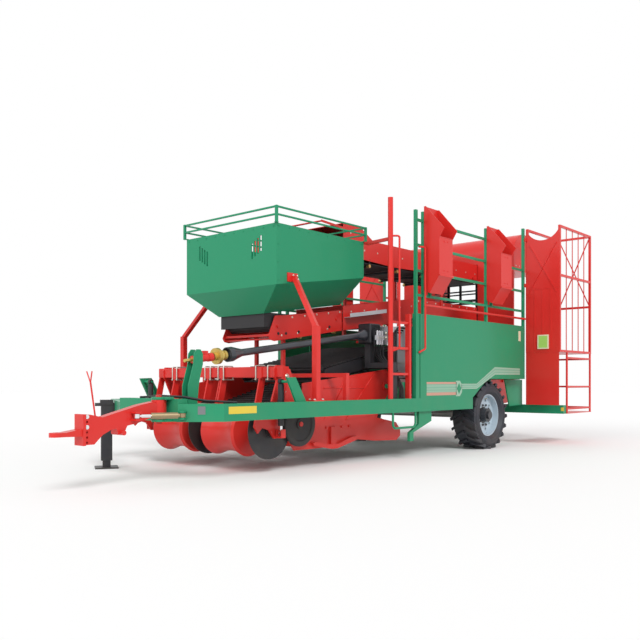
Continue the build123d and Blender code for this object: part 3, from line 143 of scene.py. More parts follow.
# colours are linear; rough, metal and coat go to the shader, dust, chips and grain to the groups
finishes = {
    "green": {"colour": (0.014, 0.250, 0.120), "rough": 0.38, "metal": 0.0, "dust": 0.07, "chips": 0.08,
              "grain": 0.02, "coat": 0.1, "shine": 0.26},
    "red": {"colour": (0.640, 0.024, 0.019), "rough": 0.34, "metal": 0.0, "dust": 0.06, "chips": 0.08,
            "grain": 0.02, "coat": 0.15, "shine": 0.30},
    "dark_steel": {"colour": (0.018, 0.019, 0.024), "rough": 0.44, "metal": 0.2, "dust": 0.10, "chips": 0.30,
                   "grain": 0.05, "coat": 0.0},
    "bare_steel": {"colour": (0.47, 0.46, 0.45), "rough": 0.38, "metal": 0.9, "dust": 0.30, "chips": 0.25,
                   "grain": 0.05, "coat": 0.0},
    "chrome": {"colour": (0.78, 0.79, 0.80), "rough": 0.10, "metal": 1.0, "dust": 0.05, "chips": 0.0,
               "grain": 0.0, "coat": 0.0},
    "gold": {"colour": (0.60, 0.43, 0.12), "rough": 0.36, "metal": 0.75, "dust": 0.12, "chips": 0.25,
             "grain": 0.03, "coat": 0.0},
    "rubber": {"colour": (0.012, 0.012, 0.015), "rough": 0.60, "metal": 0.0, "dust": 0.12, "chips": 0.10,
               "grain": 0.12, "coat": 0.0},
    "tyre": {"colour": (0.022, 0.024, 0.034), "rough": 0.56, "metal": 0.0, "dust": 0.10, "chips": 0.05,
             "grain": 0.10, "coat": 0.0},
    "rim_grey": {"colour": (0.46, 0.55, 0.62), "rough": 0.36, "metal": 0.0, "dust": 0.05, "chips": 0.08,
                 "grain": 0.02, "coat": 0.2},
    "plastic": {"colour": (0.022, 0.026, 0.036), "rough": 0.28, "metal": 0.0, "dust": 0.08, "chips": 0.04,
                "grain": 0.02, "coat": 0.3},
    "cooler": {"colour": (0.46, 0.48, 0.50), "rough": 0.42, "metal": 0.55, "dust": 0.15, "chips": 0.15,
               "grain": 0.03, "coat": 0.0},
    "zinc": {"colour": (0.62, 0.60, 0.54), "rough": 0.33, "metal": 0.85, "dust": 0.10, "chips": 0.0,
             "grain": 0.0, "coat": 0.0},
    "passivated": {"colour": (0.31, 0.235, 0.13), "rough": 0.36, "metal": 0.6, "dust": 0.12, "chips": 0.15,
                   "grain": 0.0, "coat": 0.0},
    "galvanised": {"colour": (0.60, 0.61, 0.65), "rough": 0.42, "metal": 0.35, "dust": 0.08, "chips": 0.05,
                   "grain": 0.03, "coat": 0.0},
    "brass": {"colour": (0.66, 0.45, 0.16), "rough": 0.30, "metal": 0.9, "dust": 0.10, "chips": 0.0,
              "grain": 0.0, "coat": 0.0},
    "yellow_plate": {"colour": (0.70, 0.52, 0.04), "rough": 0.40, "metal": 0.0, "dust": 0.10, "chips": 0.05,
                     "grain": 0.0, "coat": 0.2},
    "lime_plate": {"colour": (0.36, 0.60, 0.12), "rough": 0.40, "metal": 0.0, "dust": 0.10, "chips": 0.05,
                   "grain": 0.0, "coat": 0.2},
    "slate_plate": {"colour": (0.15, 0.16, 0.17), "rough": 0.45, "metal": 0.0, "dust": 0.10, "chips": 0.05,
                    "grain": 0.0, "coat": 0.1},
    "cream": {"colour": (0.75, 0.68, 0.48), "rough": 0.30, "metal": 0.0, "dust": 0.06, "chips": 0.0,
              "grain": 0.0, "coat": 0.4},
    "mint": {"colour": (0.18, 0.39, 0.275), "rough": 0.42, "metal": 0.0, "dust": 0.12, "chips": 0.05,
             "grain": 0.0, "coat": 0.1},
    "pale_mint": {"colour": (0.28, 0.46, 0.34), "rough": 0.42, "metal": 0.0, "dust": 0.12, "chips": 0.05,
                  "grain": 0.0, "coat": 0.1},
    "salmon": {"colour": (0.54, 0.27, 0.20), "rough": 0.42, "metal": 0.0, "dust": 0.12, "chips": 0.05,
               "grain": 0.0, "coat": 0.1},
}

paintwork = {"plainShine": 0.5, "coatRough": 0.15, "chipShade": 0.45, "chipLift": 0.02, "dustRough": 0.85,
             "dustColour": (0.33, 0.25, 0.17, 1.0), "grainDepth": 0.004}


def makeFinish(name):
    spec = finishes[name]
    d = paintwork
    material = bpy.data.materials.new(name)
    material.use_nodes = True
    tree = material.node_tree
    shader = tree.nodes["Principled BSDF"]
    shader.inputs["Roughness"].default_value = spec["rough"]
    shader.inputs["Metallic"].default_value = spec["metal"]
    shader.inputs["Coat Weight"].default_value = spec["coat"]
    shader.inputs["Coat Roughness"].default_value = d["coatRough"]
    shader.inputs["Specular IOR Level"].default_value = spec.get("shine", d["plainShine"])
    chips = addNode(tree, "ShaderNodeGroup", node_tree=chipGroup)
    chips.inputs["Amount"].default_value = spec["chips"]
    dust = addNode(tree, "ShaderNodeGroup", node_tree=dustGroup)
    dust.inputs["Amount"].default_value = spec["dust"]
    chipped = addNode(tree, "ShaderNodeMix", data_type="RGBA")
    chipped.inputs["A"].default_value = (*spec["colour"], 1.0)
    worn = [d["chipShade"] * value + d["chipLift"] for value in spec["colour"]]
    chipped.inputs["B"].default_value = (*worn, 1.0)
    wire(tree, chips.outputs["Mask"], chipped.inputs["Factor"])
    dusty = addNode(tree, "ShaderNodeMix", data_type="RGBA")
    dusty.inputs["B"].default_value = d["dustColour"]
    wire(tree, dust.outputs["Mask"], dusty.inputs["Factor"])
    wire(tree, chipped.outputs["Result"], dusty.inputs["A"])
    wire(tree, dusty.outputs["Result"], shader.inputs["Base Color"])
    rougher = addNode(tree, "ShaderNodeMapRange", clamp=True)
    rougher.inputs["To Min"].default_value = spec["rough"]
    rougher.inputs["To Max"].default_value = d["dustRough"]
    wire(tree, dust.outputs["Mask"], rougher.inputs["Value"])
    wire(tree, rougher.outputs["Result"], shader.inputs["Roughness"])
    if spec["grain"]:
        grain = addNode(tree, "ShaderNodeGroup", node_tree=grainGroup)
        bump = addNode(tree, "ShaderNodeBump")
        bump.inputs["Strength"].default_value = spec["grain"]
        bump.inputs["Distance"].default_value = d["grainDepth"]
        wire(tree, grain.outputs["Height"], bump.inputs["Height"])
        wire(tree, bump.outputs["Normal"], shader.inputs["Normal"])
    return material


hubDetail = {"radius": 0.128, "colour": (0.03, 0.03, 0.035, 1.0)}


def paintHub(material, axleX, axleZ):
    # the hub in the middle of a rim is dark: distance from the axle picks the colour
    tree = material.node_tree
    shader = tree.nodes["Principled BSDF"]
    before = shader.inputs["Base Color"].links[0].from_socket
    place = addNode(tree, "ShaderNodeTexCoord")
    flat = addNode(tree, "ShaderNodeVectorMath", operation="MULTIPLY")
    flat.inputs[1].default_value = (1.0, 0.0, 1.0)
    wire(tree, place.outputs["Object"], flat.inputs[0])
    away = addNode(tree, "ShaderNodeVectorMath", operation="DISTANCE")
    away.inputs[1].default_value = (axleX, 0.0, axleZ)
    wire(tree, flat.outputs[0], away.inputs[0])
    inside = addNode(tree, "ShaderNodeMath", operation="LESS_THAN")
    inside.inputs[1].default_value = hubDetail["radius"]
    wire(tree, away.outputs["Value"], inside.inputs[0])
    mixed = addNode(tree, "ShaderNodeMix", data_type="RGBA")
    mixed.inputs["B"].default_value = hubDetail["colour"]
    wire(tree, inside.outputs[0], mixed.inputs["Factor"])
    wire(tree, before, mixed.inputs["A"])
    wire(tree, mixed.outputs["Result"], shader.inputs["Base Color"])


paints = {name: makeFinish(name) for name in finishes}
rimLow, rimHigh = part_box("rim_left")
paintHub(paints["rim_grey"], (rimLow.x + rimHigh.x) / 2, (rimLow.z + rimHigh.z) / 2)

# pieces whose finish differs from their slot's usual one
finishOf = {"steer_barrel": "passivated", "side_tray": "galvanised", "oil_cooler": "galvanised",
            "oil_tank": "cooler"}

for nodeName, node in nodes.items():
    node.data.materials.clear()
    node.data.materials.append(paints[finishOf.get(nodeName, slotOf[nodeName])])
print("finishes made:", len(paints))


# making pieces: every piece gets its finish and the body it rides on


def keep(mesh, name, finish, body="root"):
    mesh.materials.clear()
    mesh.materials.append(paints[finish])
    piece = bpy.data.objects.new(name, mesh)
    bpy.context.scene.collection.objects.link(piece)
    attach(piece, body)
    return piece


def prism(outline, axis, low, high):
    # flat plate: outline in the plane across axis, from low to high along it
    builder = bmesh.new()
    orders = {"x": lambda a, b, c: (c, a, b), "y": lambda a, b, c: (a, c, b), "z": lambda a, b, c: (a, b, c)}
    order = orders[axis]
    rings = [[builder.verts.new(order(a, b, level)) for a, b in outline] for level in (low, high)]
    builder.faces.new(rings[0])
    builder.faces.new(rings[1][::-1])
    for n in range(len(outline)):
        m = (n + 1) % len(outline)
        builder.faces.new((rings[0][n], rings[1][n], rings[1][m], rings[0][m]))
    bmesh.ops.recalc_face_normals(builder, faces=builder.faces[:])
    mesh = bpy.data.meshes.new("plate")
    builder.to_mesh(mesh)
    builder.free()
    return mesh


def sheet(low, high):
    # the corners of a rectangle
    return [(low[0], low[1]), (high[0], low[1]), (high[0], high[1]), (low[0], high[1])]


def boxMesh(low, high):
    return prism(sheet(low, high), "z", low[2], high[2])


def tubeMesh(runs, radius, cyclic=False):
    # round rods along one or more point lists
    curve = bpy.data.curves.new("rod", "CURVE")
    curve.dimensions = "3D"
    curve.bevel_depth = radius
    curve.bevel_resolution = 3
    curve.use_fill_caps = True
    for run in runs:
        spline = curve.splines.new("POLY")
        spline.points.add(len(run) - 1)
        spline.use_cyclic_u = cyclic
        for point, spot in zip(spline.points, run):
            point.co = (*spot, 1.0)
    holder = bpy.data.objects.new("rod", curve)
    bpy.context.scene.collection.objects.link(holder)
    mesh = bpy.data.meshes.new_from_object(holder.evaluated_get(bpy.context.evaluated_depsgraph_get()))
    bpy.data.objects.remove(holder)
    for face in mesh.polygons:
        face.use_smooth = True
    return mesh


# fasteners: one tree sets hexagon or round heads along rows or on single points

def endTree(tree, entry, exit_, socket):
    # every geometry tree ends in real geometry with its finish on it
    real = addNode(tree, "GeometryNodeRealizeInstances")
    wire(tree, socket, real.inputs[0])
    coated = addNode(tree, "GeometryNodeSetMaterial")
    wire(tree, real.outputs[0], coated.inputs["Geometry"])
    wire(tree, entry.outputs["Finish"], coated.inputs["Material"])
    wire(tree, coated.outputs[0], exit_.inputs[0])


def makeFastenerTree(name, alongRows):
    tree, entry, exit_ = newGroup(name, "GeometryNodeTree", [
        ("Geometry", "NodeSocketGeometry", None), ("Spacing", "NodeSocketFloat", 0.1),
        ("Head Radius", "NodeSocketFloat", 0.012), ("Head Height", "NodeSocketFloat", 0.008),
        ("Head Sides", "NodeSocketInt", 6), ("Washer Radius", "NodeSocketFloat", 0.017),
        ("Finish", "NodeSocketMaterial", None)], [("Geometry", "NodeSocketGeometry")])
    if alongRows:
        rows = addNode(tree, "GeometryNodeMeshToCurve")
        wire(tree, entry.outputs["Geometry"], rows.inputs[0])
        places = addNode(tree, "GeometryNodeResampleCurve", mode="LENGTH")
        wire(tree, rows.outputs[0], places.inputs["Curve"])
        wire(tree, entry.outputs["Spacing"], places.inputs["Length"])
    else:
        places = addNode(tree, "GeometryNodeMeshToPoints")
        wire(tree, entry.outputs["Geometry"], places.inputs["Mesh"])
    head = addNode(tree, "GeometryNodeMeshCylinder")
    wire(tree, entry.outputs["Head Sides"], head.inputs["Vertices"])
    wire(tree, entry.outputs["Head Radius"], head.inputs["Radius"])
    wire(tree, entry.outputs["Head Height"], head.inputs["Depth"])
    lift = addNode(tree, "ShaderNodeCombineXYZ")
    wire(tree, entry.outputs["Head Height"], lift.inputs["Z"])
    raised = addNode(tree, "GeometryNodeTransform")
    wire(tree, head.outputs["Mesh"], raised.inputs["Geometry"])
    half = addNode(tree, "ShaderNodeVectorMath", operation="SCALE")
    half.inputs["Scale"].default_value = 0.75  # a quarter of the head stays in the plate
    wire(tree, lift.outputs[0], half.inputs[0])
    wire(tree, half.outputs[0], raised.inputs["Translation"])
    washer = addNode(tree, "GeometryNodeMeshCylinder")  # its radius comes with the bolt size
    washer.inputs["Vertices"].default_value = 12
    washer.inputs["Depth"].default_value = 0.004
    wire(tree, entry.outputs["Washer Radius"], washer.inputs["Radius"])
    whole = addNode(tree, "GeometryNodeJoinGeometry")
    wire(tree, raised.outputs[0], whole.inputs[0])
    wire(tree, washer.outputs["Mesh"], whole.inputs[0])
    facing = addNode(tree, "GeometryNodeInputNamedAttribute", data_type="FLOAT_VECTOR")
    facing.inputs["Name"].default_value = "facing"
    turn = addNode(tree, "FunctionNodeAlignRotationToVector", axis="Z")
    wire(tree, facing.outputs["Attribute"], turn.inputs["Vector"])
    spread = addNode(tree, "GeometryNodeInstanceOnPoints")
    wire(tree, places.outputs[0], spread.inputs["Points"])
    wire(tree, whole.outputs[0], spread.inputs["Instance"])
    wire(tree, turn.outputs[0], spread.inputs["Rotation"])
    endTree(tree, entry, exit_, spread.outputs[0])
    return tree


def setInput(modifier, label, value):
    for item in modifier.node_group.interface.items_tree:
        if item.in_out == "INPUT" and item.name == label:
            modifier[item.identifier] = value


def growTree(tree, mesh, values):
    # runs a tree on a mesh and returns the plain result
    holder = bpy.data.objects.new("holder", mesh)
    bpy.context.scene.collection.objects.link(holder)
    modifier = holder.modifiers.new("grow", "NODES")
    modifier.node_group = tree
    for label, value in values.items():
        setInput(modifier, label, value)
    bpy.context.view_layer.update()
    result = bpy.data.meshes.new_from_object(holder.evaluated_get(bpy.context.evaluated_depsgraph_get()))
    bpy.data.objects.remove(holder)
    return result


fastenerRows = makeFastenerTree("fastenerRows", True)
fastenerSpots = makeFastenerTree("fastenerSpots", False)

boltSizes = {
    "small": {"Head Radius": 0.0085, "Head Height": 0.006, "Head Sides": 6, "Washer Radius": 0.013},
    "middle": {"Head Radius": 0.013, "Head Height": 0.010, "Head Sides": 6, "Washer Radius": 0.020},
    "large": {"Head Radius": 0.020, "Head Height": 0.015, "Head Sides": 6, "Washer Radius": 0.030},
    "rivet": {"Head Radius": 0.007, "Head Height": 0.004, "Head Sides": 10, "Washer Radius": 0.009},
}


def pointMesh(places, edges=()):
    mesh = bpy.data.meshes.new("places")
    mesh.from_pydata([tuple(point) for point, facing in places], edges, [])
    layer = mesh.attributes.new("facing", "FLOAT_VECTOR", "POINT")
    for item, (point, facing) in zip(layer.data, places):
        item.vector = facing
    return mesh


def boltRows(name, rows, size, spacing, finish="zinc", body="root"):
    # rows: (start, end, facing)
    places = [(point, facing) for start, end, facing in rows for point in (start, end)]
    mesh = pointMesh(places, [(2 * n, 2 * n + 1) for n in range(len(rows))])
    values = dict(boltSizes[size], Spacing=spacing, Finish=paints[finish])
    return keep(growTree(fastenerRows, mesh, values), name, finish, body)


def boltSpots(name, places, size, finish="zinc", body="root"):
    values = dict(boltSizes[size], Finish=paints[finish])
    return keep(growTree(fastenerSpots, pointMesh(places), values), name, finish, body)


def circle(centre, radius, count):
    # points round an axis along y
    turns = [math.tau * n / count for n in range(count)]
    return [(centre[0] + radius * math.cos(turn), centre[1], centre[2] + radius * math.sin(turn))
            for turn in turns]


left, right = (0.0, 1.0, 0.0), (0.0, -1.0, 0.0)
ahead, behind = (1.0, 0.0, 0.0), (-1.0, 0.0, 0.0)
upward, downward = (0.0, 0.0, 1.0), (0.0, 0.0, -1.0)
bothSides = ((1, "Left", left), (-1, "Right", right))


def flip(point):
    return (point[0], -point[1], point[2])


def mirrored(rows):
    # the same rows on the other side of the machine
    return [tuple(flip(item) for item in row) for row in rows]


# wheels: a ring of nuts on each dish

wheelDetail = {"nutInset": 0.103, "nutRadius": 0.160, "nutCount": 10}


def dressWheel(side, label, facing):
    d = wheelDetail
    low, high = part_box("rim_" + label.lower())
    outer = high.y if side > 0 else low.y
    centre = ((low.x + high.x) / 2, outer - side * d["nutInset"], (low.z + high.z) / 2)
    nuts = [(spot, facing) for spot in circle(centre, d["nutRadius"], d["nutCount"])]
    boltSpots("wheelNuts" + label, nuts, "middle", "dark_steel", "wheel_" + label.lower())


for side, label, facing in bothSides:
    dressWheel(side, label, facing)
print("wheels dressed")


# hopper: rivet rows below the rim and up the corners

hopperLow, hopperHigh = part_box("hopper")
hopperDetail = {"belowRim": 0.035, "endGap": 0.05, "cornerInset": 0.03, "frontFoldUp": 0.365,
                "rearFoldUp": 0.62, "rimSpacing": 0.16, "cornerSpacing": 0.2}


def dressHopper():
    d = hopperDetail
    front, rear, half, gap = hopperHigh.x, hopperLow.x, hopperHigh.y, d["endGap"]
    rim = hopperHigh.z - d["belowRim"]
    rows = [((front - gap, half, rim), (rear + gap, half, rim), left)]
    rows += mirrored(rows)
    rows.append(((front, gap - half, rim), (front, half - gap, rim), ahead))
    rows.append(((rear, gap - half, rim), (rear, half - gap, rim), behind))
    boltRows("hopperRimRivets", rows, "rivet", d["rimSpacing"], "green")
    frontX, rearX = front - d["cornerInset"], rear + d["cornerInset"]
    corners = [((frontX, half, hopperLow.z + d["frontFoldUp"]), (frontX, half, rim), left),
               ((rearX, half, hopperLow.z + d["rearFoldUp"]), (rearX, half, rim), left)]
    boltRows("hopperCornerRivets", corners + mirrored(corners), "rivet", d["cornerSpacing"], "green")


dressHopper()
print("hopper dressed")


# side panels: stripes with a diamond, reflector and rear bolts, measured from the panel's rear and base

panelLow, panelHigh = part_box("side_panels")
stripeDetail = {
    "skin": 0.0012, "frontSetback": 0.257, "rightSetback": 0.300,
    "bands": [("salmon", 0.192, 0.221), ("mint", 0.074, 0.192), ("salmon", 0.034, 0.074)],
    "lines": [(0.158, 0.172), (0.118, 0.130), (0.086, 0.096)],
    "diamondAt": (2.11, 0.127), "bandStop": 0.07,
    "border": [(0.085, 0.112), (-0.025, 0.112), (-0.085, 0.055), (-0.085, -0.055), (-0.025, -0.112),
               (0.085, -0.112)],
    "diamond": [(-0.062, 0.0), (0.0, 0.080), (0.062, 0.0), (0.0, -0.080)],
    "narrowBand": [(2.044, 0.118, 0.196), (1.60, 0.118, 0.196), (1.03, 0.335, 0.455), (0.18, 0.341, 0.443)],
    "narrowShares": [(0.0, 0.22), (0.42, 0.56), (0.80, 1.0)],
    "reflector": ((0.165, 0.895), (0.235, 1.06)), "reflectorThick": 0.008,
    "boltInset": 0.03, "boltUp": 0.32, "boltBelowTop": 0.05, "boltSpacing": 0.25,
}


def sidePlate(name, outline, side, depth, finish):
    # thin plate lying on the outer face of a side panel
    face = panelHigh.y if side > 0 else panelLow.y
    return keep(prism(outline, "y", *sorted((face, face + side * depth))), name, finish)


def bandOutline(points):
    return [(x, high) for x, low, high in points] + [(x, low) for x, low, high in points[::-1]]


def dressPanel(side, label, facing):
    d = stripeDetail
    rear, base = panelLow.x, panelLow.z
    front = panelHigh.x - d["frontSetback"] - (0 if side > 0 else d["rightSetback"])
    middleX, middleZ = rear + d["diamondAt"][0], base + d["diamondAt"][1]
    stop = middleX + d["bandStop"]
    for n, (finish, low, high) in enumerate(d["bands"]):
        outline = bandOutline([(front, base + low, base + high), (stop, base + low, base + high)])
        sidePlate(f"stripe{label}Low{n}", outline, side, d["skin"], finish)
    for n, (low, high) in enumerate(d["lines"]):
        outline = bandOutline([(front, base + low, base + high), (stop, base + low, base + high)])
        sidePlate(f"stripe{label}Thin{n}", outline, side, 1.5 * d["skin"], "pale_mint")
    border = [(middleX + along, middleZ + up) for along, up in d["border"]]
    sidePlate(f"stripe{label}Border", border, side, d["skin"], "pale_mint")
    diamond = [(middleX + along, middleZ + up) for along, up in d["diamond"]]
    sidePlate(f"stripe{label}Diamond", diamond, side, 2 * d["skin"], "green")
    narrow = [(rear + along, base + low, base + high) for along, low, high in d["narrowBand"]]
    sidePlate(f"stripe{label}Band", bandOutline(narrow), side, d["skin"], "mint")
    for n, (start, end) in enumerate(d["narrowShares"]):
        line = [(x, low + start * (high - low), low + end * (high - low)) for x, low, high in narrow]
        sidePlate(f"stripe{label}Line{n}", bandOutline(line), side, 2 * d["skin"], "pale_mint")
    lens = [(rear + along, base + up) for along, up in sheet(*d["reflector"])]
    sidePlate(f"reflector{label}", lens, side, d["reflectorThick"], "cream")
    edge = (rear + d["boltInset"], side * panelHigh.y)
    row = ((*edge, base + d["boltUp"]), (*edge, panelHigh.z - d["boltBelowTop"]), facing)
    boltRows(f"panel{label}Bolts", [row], "small", d["boltSpacing"], "green")


for side, label, facing in bothSides:
    dressPanel(side, label, facing)


beamDetail = {
    "front": 3.17, "low": 0.64, "plateFront": 0.06, "plateLength": 0.39, "plateLow": 0.075,
    "plateHigh": 0.15, "plateThick": 0.002,
    "cornerAt": (3.331, 1.293), "cornerAlong": (0.718, -0.696), "cornerOut": (0.696, 0.718),
    "cornerOff": 0.001, "cornerHalf": 0.038, "cornerThick": 0.003, "cornerZ": (0.714, 0.796),
}


def dressBeam():
    # blank plates on the left beam and on its slanted corner
    d = beamDetail
    front = d["front"] - d["plateFront"]
    plate = sheet((front - d["plateLength"], d["low"] + d["plateLow"]), (front, d["low"] + d["plateHigh"]))
    keep(prism(plate, "y", panelHigh.y, panelHigh.y + d["plateThick"]), "beamPlateYellow", "yellow_plate")
    along, out = Vector(d["cornerAlong"]), Vector(d["cornerOut"])
    centre = Vector(d["cornerAt"]) + out * d["cornerOff"]
    rear, nose = centre - along * d["cornerHalf"], centre + along * d["cornerHalf"]
    outline = [rear, nose, nose + out * d["cornerThick"], rear + out * d["cornerThick"]]
    keep(prism([tuple(spot) for spot in outline], "z", *d["cornerZ"]), "beamPlateGrey", "slate_plate")


dressBeam()
print("panels dressed")


# digging head: u-bolts with nuts over the toolbar, and the pins of the rollers

headDetail = {
    "barAt": (1.98, 1.16), "places": (-0.833, -0.745, -0.175, -0.074, 0.074, 0.175, 0.745, 0.944),
    "rod": 0.008, "inside": (0.136, 0.150), "hoopDown": 0.009, "nutOut": 0.076, "nutDown": 0.084,
    "pins": [((2.15, 0.811, 0.46), left), ((2.15, 0.119, 0.46), right)],
}


def makeHoopTree():
    # square u-bolts: a bent rod on every point
    tree, entry, exit_ = newGroup("uBoltHoops", "GeometryNodeTree", [
        ("Geometry", "NodeSocketGeometry", None), ("Rod Radius", "NodeSocketFloat", 0.008),
        ("Width", "NodeSocketFloat", 0.136), ("Height", "NodeSocketFloat", 0.16),
        ("Corner Radius", "NodeSocketFloat", 0.014), ("Finish", "NodeSocketMaterial", None)],
        [("Geometry", "NodeSocketGeometry")])
    shape = addNode(tree, "GeometryNodeCurvePrimitiveQuadrilateral")
    wire(tree, entry.outputs["Width"], shape.inputs["Width"])
    wire(tree, entry.outputs["Height"], shape.inputs["Height"])
    rounded = addNode(tree, "GeometryNodeFilletCurve", mode="POLY")
    rounded.inputs["Count"].default_value = 4
    wire(tree, shape.outputs[0], rounded.inputs["Curve"])
    wire(tree, entry.outputs["Corner Radius"], rounded.inputs["Radius"])
    ring = addNode(tree, "GeometryNodeCurvePrimitiveCircle")
    ring.inputs["Resolution"].default_value = 10
    wire(tree, entry.outputs["Rod Radius"], ring.inputs["Radius"])
    body = addNode(tree, "GeometryNodeCurveToMesh")
    wire(tree, rounded.outputs[0], body.inputs["Curve"])
    wire(tree, ring.outputs[0], body.inputs["Profile Curve"])
    upright = addNode(tree, "GeometryNodeTransform")
    upright.inputs["Rotation"].default_value = (math.pi / 2, 0.0, 0.0)
    wire(tree, body.outputs[0], upright.inputs["Geometry"])
    places = addNode(tree, "GeometryNodeMeshToPoints")
    wire(tree, entry.outputs["Geometry"], places.inputs["Mesh"])
    spread = addNode(tree, "GeometryNodeInstanceOnPoints")
    wire(tree, places.outputs["Points"], spread.inputs["Points"])
    wire(tree, upright.outputs[0], spread.inputs["Instance"])
    endTree(tree, entry, exit_, spread.outputs[0])
    return tree


hoopTree = makeHoopTree()


def dressHead():
    d = headDetail
    barX, barZ = d["barAt"]
    hoops = [((barX, y, barZ - d["hoopDown"]), upward) for y in d["places"]]
    width, height = [inner + 2 * d["rod"] for inner in d["inside"]]
    mesh = growTree(hoopTree, pointMesh(hoops), {
        "Rod Radius": d["rod"], "Width": width, "Height": height, "Finish": paints["zinc"]})
    for face in mesh.polygons:
        face.use_smooth = True
    keep(mesh, "toolbarUBolts", "zinc", "digging_head")
    nuts = [((barX + out, y, barZ - d["nutDown"]), downward) for y in d["places"]
            for out in (-d["nutOut"], d["nutOut"])]
    boltSpots("toolbarNuts", nuts, "middle", "zinc", "digging_head")
    boltSpots("rollerPins", d["pins"] + mirrored(d["pins"]), "large", "dark_steel", "digging_head")


dressHead()
print("head dressed")


# repeated slats: one tree lays boxes in a straight row; used for coils, fins, straps and grip bars

def makeSlatTree():
    tree, entry, exit_ = newGroup("slatRow", "GeometryNodeTree", [
        ("Geometry", "NodeSocketGeometry", None), ("Count", "NodeSocketInt", 8),
        ("Start", "NodeSocketVector", None), ("Step", "NodeSocketVector", None),
        ("Slat Size", "NodeSocketVector", None), ("Finish", "NodeSocketMaterial", None)],
        [("Geometry", "NodeSocketGeometry")])
    row = addNode(tree, "GeometryNodeMeshLine", mode="OFFSET")
    wire(tree, entry.outputs["Count"], row.inputs["Count"])
    wire(tree, entry.outputs["Start"], row.inputs["Start Location"])
    wire(tree, entry.outputs["Step"], row.inputs["Offset"])
    slat = addNode(tree, "GeometryNodeMeshCube")
    wire(tree, entry.outputs["Slat Size"], slat.inputs["Size"])
    spread = addNode(tree, "GeometryNodeInstanceOnPoints")
    wire(tree, row.outputs["Mesh"], spread.inputs["Points"])
    wire(tree, slat.outputs["Mesh"], spread.inputs["Instance"])
    endTree(tree, entry, exit_, spread.outputs[0])
    return tree


slatTree = makeSlatTree()


def slatRow(name, count, start, step, size, finish):
    mesh = growTree(slatTree, bpy.data.meshes.new("seed"), {
        "Count": count, "Start": start, "Step": step, "Slat Size": size, "Finish": paints[finish]})
    return keep(mesh, name, finish)


def onFace(nodeName, point, facing, reach=0.5):
    # the spot on a node's surface that a line against the facing direction meets first
    aim = Vector(facing)
    start = Vector(point) + aim * reach
    hit, spot, normal, index = nodes[nodeName].ray_cast(start, -aim, distance=2 * reach)
    return spot if hit else None


def spotsOn(nodeName, points, facing, reach=0.5):
    found = [(onFace(nodeName, point, facing, reach), facing) for point in points]
    return [(tuple(spot), facing) for spot, facing in found if spot is not None]


def rowOn(nodeName, start, end, count, facing, reach=0.3):
    # evenly spaced places along a line, dropped on to the node's surface
    first, last = Vector(start), Vector(end)
    points = [first.lerp(last, n / (count - 1)) for n in range(count)]
    return spotsOn(nodeName, points, facing, reach)


def rowsOn(nodeName, lines, side, facing):
    # lines: (start, end, count), written for the left side
    found = []
    for start, end, count in lines:
        ends = (start, end) if side > 0 else (flip(start), flip(end))
        found += rowOn(nodeName, *ends, count, facing)
    return found


# hydraulics: coils, nuts and plugs of the valve block, fins and screws of the cooler, straps of the tank

coilDetail = {"inset": (0.066, 0.030, 0.024), "size": (0.038, 0.036, 0.044), "count": 5, "gap": 0.045,
              "plugAlong": (-0.015, 0.025), "plugIn": 0.02, "plugZ": (1.64, 1.70)}


def dressValveBlock():
    d = coilDetail
    low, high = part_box("valve_block")
    insetX, insetY, insetZ = d["inset"]
    x, y = low.x + insetX, low.y + insetY
    for label, z in (("Upper", high.z - insetZ), ("Lower", low.z + insetZ)):
        slatRow("valveCoils" + label, d["count"], (x, y, z), (0.0, d["gap"], 0.0), d["size"], "cooler")
    nuts = [((x, y + n * d["gap"], high.z), upward) for n in range(d["count"])]
    boltSpots("valveNuts", nuts, "middle")
    plugs = [(x + along, high.y - d["plugIn"], z) for along in d["plugAlong"] for z in d["plugZ"]]
    boltSpots("valvePlugs", spotsOn("valve_block", plugs, left), "large")


coolerDetail = {"count": 12, "firstZ": 1.553, "lowZ": 1.545, "belowTop": 0.03, "finHeight": 0.006,
                "sideGap": 0.05, "sideIn": 0.004, "sideDepth": 0.010,
                "frontGap": 0.04, "frontOut": 0.002, "frontDepth": 0.006,
                "screwIn": 0.012, "screwZ": (1.54, 1.79)}


def dressCooler():
    d = coolerDetail
    low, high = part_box("oil_cooler")
    step = (0.0, 0.0, (high.z - d["belowTop"] - d["lowZ"]) / d["count"])
    slatRow("coolerFins", d["count"], ((low.x + high.x) / 2, high.y - d["sideIn"], d["firstZ"]), step,
            (high.x - low.x - d["sideGap"], d["sideDepth"], d["finHeight"]), "galvanised")
    slatRow("coolerFrontFins", d["count"], (high.x + d["frontOut"], (low.y + high.y) / 2, d["firstZ"]), step,
            (d["frontDepth"], high.y - low.y - d["frontGap"], d["finHeight"]), "galvanised")
    corners = [(x, high.y, z) for x in (low.x + d["screwIn"], high.x - d["screwIn"]) for z in d["screwZ"]]
    boltSpots("coolerScrews", spotsOn("oil_cooler", corners, left), "rivet")


strapDetail = {"heights": (0.98, 1.30), "y": 1.22, "proud": 0.006, "depth": 0.186, "width": 0.030}


def dressTank():
    d = strapDetail
    low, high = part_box("oil_tank")
    size = (high.x - low.x + d["proud"], d["depth"], d["width"])
    for n, z in enumerate(d["heights"]):
        slatRow(f"tankStrap{n}", 1, ((low.x + high.x) / 2, d["y"], z), upward, size, "bare_steel")


dressValveBlock()
dressCooler()
dressTank()


valveDetail = {"backX": (0.015, 0.205), "backY": (1.0801, 1.086), "backZ": (1.535, 1.735),
               "bodyX": (0.035, 0.185), "bodyZ": (1.605, 1.665), "bodyDepth": 0.046,
               "coilX": (0.060, 0.110, 0.160), "coilRadius": 0.017, "coilLength": 0.058}


